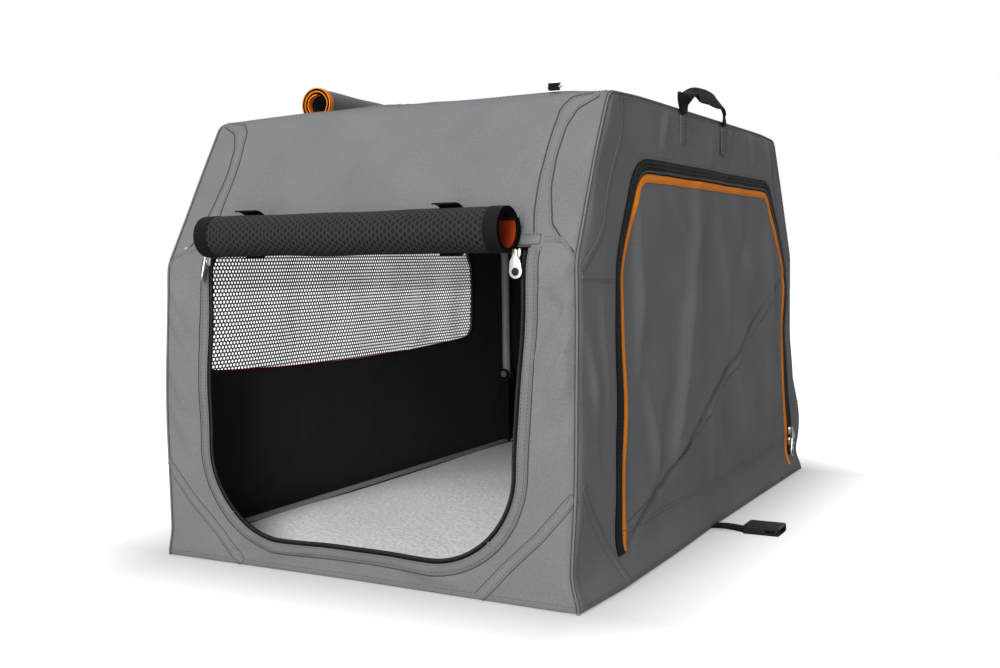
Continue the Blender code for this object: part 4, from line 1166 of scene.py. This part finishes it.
def woundSheet(name, group, roll, material, spans=(0.0, 1.0), extra=0.0, lining=None):
    # a sheet wound about the line from start to end; spans give which share of the length is made
    phases = np.random.default_rng(roll["seed"]).uniform(0, 6.283, 6)
    start, end, thick, perTurn = np.array(roll["start"]), np.array(roll["end"]), roll["thick"], 34
    long = np.linalg.norm(end - start)
    steps = int(roll["turns"] * perTurn)
    pitch = (roll["radius"] - roll["core"] - thick) / roll["turns"]
    turn = np.linspace(0, roll["turns"], steps + 1)
    angle = roll["begin"] + 2 * math.pi * turn
    around = np.cumsum(np.full(steps + 1, 2 * math.pi * roll["radius"] * 0.7 / perTurn))
    rings, maps = [], []
    for s in np.linspace(*spans, max(3, int((spans[1] - spans[0]) * long / 0.006) + 1)):
        ripple = np.sin(angle + 9 * s + phases[0]) * 0.5 + np.sin(2 * angle + 16 * s + phases[1]) * 0.35
        ripple = roll["wobble"] * (ripple + 0.4 * np.sin(23 * s + phases[2]))
        radius = roll["core"] + thick + pitch * turn + ripple * (turn / roll["turns"])
        shells = []
        for lift in (extra, -thick - extra):
            size = (radius + lift) * (1 - 0.05 * np.sin(angle) ** 2)
            sideways = np.outer(size * np.cos(angle), roll["across"])
            shells.append(start + (end - start) * s + sideways + np.outer(size * np.sin(angle), (0, 0, 1)))
        rings.append(np.vstack([shells[0], shells[1][::-1]]))
        places = np.stack([around, np.full(steps + 1, s * long)], axis=1)
        maps += [places, places[::-1]]
    piece = sweep(name, np.stack(rings), np.vstack(maps), material, sharp=60)
    if lining:
        # the inner shell has its own cloth
        piece.data.materials.append(finishes[lining])
        place = np.arange(len(piece.data.polygons)) % (2 * steps + 2)
        piece.data.polygons.foreach_set("material_index", (place > steps).astype(np.int32))
    return follow(piece, group)


def makeDoorRoll():
    y, z, long = doorRoll["y"], doorRoll["z"], doorRoll["right"] - doorRoll["left"]
    body = woundSheet("doorNetRoll", "ends", doorRoll, "roll")
    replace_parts(body, "front_door_roll")
    left, right = doorRoll["bindings"]
    for word, spans in (("Left", (0.0, left / long)), ("Right", (1 - right / long, 1.0))):
        woundSheet("doorRollBinding" + word, "ends", doorRoll, "blackTape", spans, 0.0005)

    def arc(x, size, turns):
        return [(x, y + size * math.cos(t), z + size * math.sin(t)) for t in turns]
    # the door's orange lining shows inside the right end; it is coloured a darker orange, painted shade inside the roll
    turns = np.radians(np.linspace(-doorRoll["liningTurns"], doorRoll["liningTurns"], 34))
    xs = np.linspace(doorRoll["right"] - doorRoll["liningDepth"], doorRoll["right"] - 0.0012, 12)
    rings = np.array([arc(x, 0.0171, turns) + arc(x, 0.0165, turns[::-1]) for x in xs])
    maps = [(ring * 0.005, 0.0005 * k) for ring in range(12) for k in range(68)]
    follow(sweep("doorRollLining", rings, maps, "lining", sharp=60), "ends")
    turns = np.radians(np.linspace(*doorRoll["strapTurns"], 27))
    outward = np.stack([np.zeros(27), np.cos(turns), np.sin(turns)], axis=1)
    for word, side in (("left", -1), ("right", 1)):
        points = np.array(arc(side * doorRoll["strap"], doorRoll["strapRadius"], turns))
        strap = bandAlong("rollStrap" + word.capitalize(), points, outward, 0.025, 0.0015)
        follow(strap, "ends")
        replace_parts(strap, "roll_strap_" + word)


def makeCoverRoll():
    share = coverRoll["binding"] / math.dist(coverRoll["start"], coverRoll["end"])
    body = woundSheet("windowCoverRoll", "left_roof", coverRoll, "grey", lining="inside")
    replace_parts(body, "cover_roll")
    for word, spans in (("Front", (0.0, share)), ("Rear", (1 - share, 1.0))):
        woundSheet("coverRollBinding" + word, "left_roof", coverRoll, "orange", spans, 0.0012)


makeDoorRoll()
makeCoverRoll()
print("rolls ready")

handle = {
    "front": -0.103, "rear": 0.062, "width": 0.018, "thickness": 0.0024, "stand": {1: 0.2419, -1: 0.2452},
    "middle": [(0.022, 0.4985), (-0.012, 0.5005), (0.034, 0.4980), (0.051, 0.4890)], "foot": 0.4730,
    "twists": ((1.30, 0.20, 0.11), (0.60, 0.84, 0.10)), "patch": (0.4405, 0.4722), "box": (0.0065, 0.443, 0.466)}


def makeHandles():
    width, half = handle["width"], handle["width"] / 2
    front, rear, foot = handle["front"] + half, handle["rear"] - half, handle["foot"]
    (first, height), *others = handle["middle"]
    corners = [(front, foot), (front - 0.004, 0.4915), (front + first, height), *others, (rear, foot)]
    path = evenPath(roundedPath(corners, 0.010, steps=6), 0.0035)
    share = np.linspace(0, 1, len(path))
    slack = sum(size * np.exp(-((share - at) / wide) ** 2) for size, at, wide in handle["twists"])
    boxHalf, boxLow, boxHigh = handle["box"]
    for word, side in (("right", 1), ("left", -1)):
        stand = handle["stand"][side]
        facing = np.tile((float(side), 0.0, 0.0), (len(path), 1))
        points = np.column_stack([np.full(len(path), side * (stand + 0.0006)), path])
        twist = side * (slack + 0.25 * np.sin(math.pi * share))
        band = bandAlong(word + "Handle", points, facing, width, handle["thickness"], twist=twist)
        follow(band, word + "_handle")
        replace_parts(band, word + "_handle")
        place = side * (stand - 0.0008)
        face = Cloth(flatBase(lambda y, z, x=place + side * 0.0010: (x, y, z), (side, 0, 0)))
        for tail, y in (("front", front), ("rear", rear)):
            points = np.array([(place, y, z) for z in np.linspace(*handle["patch"], 9)])
            label = word + "Handle{}" + tail.capitalize()
            patch = bandAlong(label.format("Patch"), points, facing[:9], width, 0.0019, "grey")
            follow(patch, word + "_frame")
            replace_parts(patch, word + "_handle_patch_" + tail)
            box = rectangle(y - boxHalf, boxLow, y + boxHalf, boxHigh)
            lines = [[box[i], box[(i + 1) % 4]] for i in range(4)] + [[box[0], box[2]], [box[1], box[3]]]
            Sewing(face, word + "_frame").stitches(label.format("BoxStitch"), lines, "darkThread")


closing = {"points": 10, "reach": (0.2408, 0.2898), "y": -0.020, "width": 0.025, "thickness": 0.0018}


def makeClosingStraps():
    count = closing["points"]
    heights = {"right": 0.0012 + 0.0022 * np.sin(np.linspace(0, 3.1, count)), "left": np.full(count, 0.0011)}
    for word, side in (("right", 1), ("left", -1)):
        xs = side * np.linspace(*closing["reach"], count)
        points = np.stack([xs, np.full(count, closing["y"]), heights[word]], axis=1)
        out = np.tile((0.0, 0.0, 1.0), (count, 1))
        strap = bandAlong(word + "ClosingStrap", points, out, closing["width"], closing["thickness"])
        follow(strap, word + "_strap")
        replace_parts(strap, word + "_closing_strap")


def roundedPrism(name, outline, axes, origin, span, bevel, material):
    # an outline in two axes, pushed out along their normal, with rounded edges
    first, second = axes
    normal = first.cross(second)
    shape = bmesh.new()
    low, high = ([shape.verts.new(origin + first * a + second * b + normal * h) for a, b in outline] for h in span)
    shape.faces.new(low[::-1])
    shape.faces.new(high)
    for i in range(len(outline)):
        j = (i + 1) % len(outline)
        shape.faces.new((low[i], low[j], high[j], high[i]))
    bmesh.ops.recalc_face_normals(shape, faces=shape.faces)
    sharpEdges = [e for e in shape.edges if len(e.link_faces) == 2 and e.calc_face_angle() > 0.5]
    bmesh.ops.bevel(shape, geom=sharpEdges, offset=bevel, segments=2, profile=0.6, affect="EDGES")
    mesh = bpy.data.meshes.new(name)
    shape.to_mesh(mesh)
    shape.free()
    mesh.materials.append(finishes[material])
    mesh.shade_smooth()
    mesh.set_sharp_from_angle(angle=math.radians(35))
    return linked(name, mesh)


slider = {
    "outline": [(-0.0040, 0.0058), (-0.0046, 0.0020), (-0.0030, -0.0056), (0.0030, -0.0056), (0.0046, 0.0020),
                (0.0040, 0.0058), (0.0014, 0.0046), (-0.0014, 0.0046)],
    "span": (0.0003, 0.0031), "bridgeReach": 0.0038, "bridgeFoot": 0.0028, "bridgeRise": 0.0019,
    "front": (("left", -0.1800, 0.320, -14, -50), ("right", 0.1850, 0.3220, 3, 0)), "side": (0.047, 0.062)}
pull = {
    "half": 0.0064, "length": 0.028, "neck": [(-0.0018, 0.0018), (0.0018, 0.0018), (0.0022, -0.0040),
                                              (0.0052, -0.0090)],
    "span": (0.0052, 0.0067), "insertSpan": (0.0050, 0.0069), "insert": 0.0039, "insertRise": 0.0094,
    "hinge": 0.0060}
upwards = Vector((0, 0, 1))


def makeSlider(name, group, centre, across, normal):
    # a tapered body with two shoulders and a bridge over it
    body = roundedPrism(name, slider["outline"], (across, upwards), centre, slider["span"], 0.0005, "nickel")
    follow(body, group)
    turns = [math.pi * k / 8 for k in range(9)]
    foot, reach, rise = (slider[key] for key in ("bridgeFoot", "bridgeReach", "bridgeRise"))
    arch = [centre + upwards * (reach * math.cos(t)) + normal * (foot + rise * math.sin(t)) for t in turns]
    out = np.array([normal * math.sin(t) + upwards * math.cos(t) for t in turns])
    follow(bandAlong(name + "Bridge", np.array(arch), out, 0.0019, 0.0009, "nickel"), group)
    return body


def makePull(name, group, centre, across, normal, tilt=0.0, yaw=0.0):
    # a metal tab with a neck, a round foot and a dark insert; yaw turns it about its own length
    swing = Matrix.Rotation(tilt, 3, normal)
    axes = swing @ across, swing @ upwards
    half, length, radius = pull["half"], pull["length"], pull["insert"]
    turns = [math.pi * k / 12 for k in range(13)]
    outline = pull["neck"] + [(half * math.cos(t), -length + 0.003 + half - half * math.sin(t)) for t in turns]
    outline += mirrored(-1, pull["neck"][:1:-1])
    turns = [2 * math.pi * k / 20 for k in range(20)]
    ring = [(radius * math.cos(t), -length + pull["insertRise"] + radius * math.sin(t)) for t in turns]
    origin = centre + upwards * 0.003
    tab = roundedPrism(name, outline, axes, origin, pull["span"], 0.0004, "nickel")
    insert = roundedPrism(name + "Insert", ring, axes, origin, pull["insertSpan"], 0.0004, "plastic")
    hinge = Matrix.Translation(origin + normal * pull["hinge"])
    for piece in (tab, insert):
        piece.data.transform(hinge @ Matrix.Rotation(yaw, 4, axes[1]) @ hinge.inverted())
        follow(piece, group)
    return tab


def makeSliders():
    # the front pair on the upper ends of the front zip
    axes = Vector((1, 0, 0)), Vector((0, -1, 0))
    for word, x, z, tilt, yaw in slider["front"]:
        centre = Vector((x, -halfDepth - 0.0004, z))
        body = makeSlider("frontSlider" + word.capitalize(), "front_slider_" + word, centre, *axes)
        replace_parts(body, "front_slider_" + word)
        turns = math.radians(tilt), math.radians(yaw)
        tab = makePull("frontPull" + word.capitalize(), "front_pull_" + word, centre, *axes, *turns)
        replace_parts(tab, "front_pull_" + word)
    axes = Vector((0, 1, 0)), Vector((1, 0, 0))
    places = [(sideDoor["rear"] + 0.0045, z) for z in slider["side"]]
    lower, upper = (Vector(p) for p in rightCloth.at(places, 0.0012))
    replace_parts(makeSlider("sideSliderLower", "right_frame", lower, *axes), "right_slider_lower")
    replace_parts(makeSlider("sideSliderUpper", "right_slider", upper, *axes), "right_slider_upper")
    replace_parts(makePull("sidePull", "right_pull", upper, *axes, math.radians(24)), "right_pull")
    makePull("sidePullLower", "right_frame", lower, *axes)


def makeTopRing():
    # the ring and its tab keep the frame's own shapes, and sink with the front wall they are sewn to
    kept = (("top_ring", "topRing", "nickel", "top_ring"), ("top_ring_tab", "topRingTab", "webbing", "base"))
    for node, name, finish, body in kept:
        mesh = cadNodes[node].data.copy()
        mesh.transform(cadNodes[node].matrix_world)
        mesh.materials.clear()
        mesh.materials.append(finishes[finish])
        mesh.polygons.foreach_set("material_index", np.zeros(len(mesh.polygons), np.int32))
        piece = sink(linked(name, mesh), body)
        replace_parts(piece, node)


makeHandles()
makeClosingStraps()
makeSliders()
makeTopRing()
print("small parts ready")

pad = {
    "halfX": 0.214, "halfY": 0.358, "foot": 0.0076, "thickness": 0.0190, "edge": 0.010, "columns": 60, "rows": 100,
    "pull": 0.018, "under": 0.004, "bindingLine": 0.0065,
    "binding": [(-0.0008, -0.0050), (0.0010, -0.0044), (0.0016, 0.0), (0.0010, 0.0046), (-0.0012, 0.0056),
                (-0.0040, 0.0052), (-0.0040, -0.0050)]}


def makePad():
    columns, rows, foot, edge = (pad[key] for key in ("columns", "rows", "foot", "edge"))
    dice = np.random.default_rng(44)
    sines = [(dice.uniform(8, 34), dice.uniform(0, 6.28), dice.uniform(0, 6.28)) for _ in range(8)]
    u, v = (grid.ravel() for grid in np.meshgrid(np.linspace(-1, 1, columns + 1), np.linspace(-1, 1, rows + 1)))
    x = pad["halfX"] * u * (1 - pad["pull"] * (1 - v ** 4))
    y = pad["halfY"] * v * (1 - pad["pull"] * (1 - u ** 4))
    crown = ((1 - u ** 8) * (1 - v ** 8)) ** 0.5
    wave = sum(np.sin(k * (x * math.cos(t) + y * math.sin(t)) + p) for k, t, p in sines) * 0.0006
    top = foot + edge + (pad["thickness"] - edge - 0.0015) * crown + (wave - 0.001) * crown
    points = np.vstack([np.stack([x, y, z], axis=1) for z in (top, foot + pad["under"] * (1 - crown))])
    size, row = len(u), columns + 1
    faces = []
    for a in (j * row + i for j in range(rows) for i in range(columns)):
        faces.append((a, a + 1, a + row + 1, a + row))
        faces.append((size + a, size + a + row, size + a + row + 1, size + a + 1))
    border = list(range(columns)) + [j * row + columns for j in range(rows)]
    border += [rows * row + i for i in range(columns, 0, -1)] + [j * row for j in range(rows, 0, -1)]
    faces += [(a, size + a, size + b, b) for a, b in zip(border, border[1:] + border[:1])]
    cushion = addPiece("fleecePad", points, faces, ["fleece"], points[:, :2], sharp=70)
    follow(cushion, "base")
    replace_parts(cushion, "bed_pad")
    # dark binding round the pad's edge
    line = points[border]
    line[:, 2] = foot + pad["bindingLine"]
    out = np.cross(pathTangent(line, True), (0, 0, 1.0))
    rings = np.stack([line + out * a + np.array([0, 0, 1.0]) * b for a, b in pad["binding"]], axis=1)
    maps = stripMap(line, [b for _, b in pad["binding"]])
    follow(sweep("padBinding", rings, maps, "blackTape", closed=True), "base")


makePad()
print("pad ready")

nodeFinishes = (("frame_tube", "steelPaint"), ("base_tube", "steelPaint"), ("top_bar", "steelPaint"),
                ("pivot_pin", "bareSteel"), ("floor_board", "board"))
for name, item in cadNodes.items():
    if not item.hide_render:
        finish = finishes[next((label for part, label in nodeFinishes if part in name), "plastic")]
        if not item.data.materials:
            item.data.materials.append(finish)
        for index in range(len(item.data.materials)):
            item.data.materials[index] = finish

studio = {
    "floor": 9.0, "glow": 1.25, "near": 0.20, "world": 0.20, "aim": Vector((0, 0, 0.2)),
    "shades": ((0.61, 0.61, 0.61), (0.63, 0.63, 0.63)), "awayX": (0.0576, 0.16), "awayY": (0.148, 0.29),
    "lamps": {  # place, size, power
        "keyLight": ((0.25, -3.0, 1.6), 1.9, 92.0), "lowLight": ((0.30, -1.9, 0.30), 0.5, 7.0),
        "foldLight": ((1.6, -2.6, 1.0), 0.8, 5.0), "topLight": ((-0.2, 0.2, 2.6), 1.8, 15.0),
        "rimLight": ((1.5, 2.4, 1.5), 1.0, 4.0)}}


def makeGround():
    # a white floor, which glows for the camera away from the crate
    size = studio["floor"]
    corners = [(x, y, -0.0004) for x, y in rectangle(-size, -size, size, size)]
    ground = addPiece("studioFloor", corners, [(0, 1, 2, 3)], [])
    finish = Finish("studioWhite", Roughness=0.9, Specular_IOR_Level=0.1)
    place = finish.place()
    finish.set("Base Color", finish.colours(finish.noise(place, 3.0), *studio["shades"]))
    x, y, _ = finish.parts(place)
    away = ((x * x).ramp(*studio["awayX"]) + (y * y).ramp(*studio["awayY"])).least(1.0)
    seen = finish.node("ShaderNodeLightPath", {}, {}, "Is Camera Ray")
    glow = finish.node("ShaderNodeEmission", {}, {"Color": (1.0, 1.0, 1.0), "Strength": studio["glow"]})
    share = seen * (away * (1 - studio["near"]) + studio["near"])
    plain = Wire(finish, finish.shader.outputs[0])
    mix = finish.node("ShaderNodeMixShader", {}, {0: share, 1: plain, 2: glow})
    finish.tree.links.new(mix.socket, finish.tree.nodes["Material Output"].inputs["Surface"])
    ground.data.materials.append(finish.material)


def makeLight():
    for name, (place, size, power) in studio["lamps"].items():
        lamp = bpy.data.lights.new(name, "AREA")
        lamp.energy, lamp.size = power, size
        item = linked(name, lamp)
        item.location = place
        item.rotation_euler = (studio["aim"] - Vector(place)).to_track_quat("-Z", "Y").to_euler()
    # the world lights the crate dimly, but is white where it is seen or mirrored
    world = bpy.data.worlds.new("studioWorld")
    world.use_nodes = True
    bpy.context.scene.world = world
    new, link = world.node_tree.nodes.new, world.node_tree.links.new
    rays, level = new("ShaderNodeLightPath").outputs, new("ShaderNodeMapRange")
    seen = rays["Is Camera Ray"]
    for kind in ("Is Glossy Ray", "Is Transmission Ray"):
        either = new("ShaderNodeMath")
        either.operation = "MAXIMUM"
        link(seen, either.inputs[0])
        link(rays[kind], either.inputs[1])
        seen = either.outputs[0]
    level.inputs["To Min"].default_value = studio["world"]
    level.inputs["To Max"].default_value = 1.0
    link(seen, level.inputs["Value"])
    background = world.node_tree.nodes["Background"]
    background.inputs["Color"].default_value = (1.0, 1.0, 1.0, 1.0)
    link(level.outputs[0], background.inputs["Strength"])


camera = {"azimuth": 28.0956, "down": 3.7719, "roll": -0.7932, "lens": 41.968, "sensor": 36.0, "clip": (0.05, 60.0),
          "place": (0.66864, -1.32701, 0.31978)}


def makeCamera():
    a, e, r = (math.radians(camera[key]) for key in ("azimuth", "down", "roll"))
    forward = Vector((-math.sin(a) * math.cos(e), math.cos(a) * math.cos(e), -math.sin(e)))
    right = Vector((math.cos(a), math.sin(a), 0))
    up = right.cross(forward)
    right, up = right * math.cos(r) + up * math.sin(r), up * math.cos(r) - right * math.sin(r)
    data = bpy.data.cameras.new("photoCamera")
    data.lens, data.sensor_width, data.sensor_fit = camera["lens"], camera["sensor"], "HORIZONTAL"
    data.clip_start, data.clip_end = camera["clip"]
    item = linked("photoCamera", data)
    item.matrix_world = Matrix.Translation(camera["place"]) @ Matrix((right, up, -forward)).transposed().to_4x4()
    bpy.context.scene.camera = item


makeGround()
makeLight()
makeCamera()
bpy.context.scene.view_settings.view_transform = "Standard"
print("studio ready")
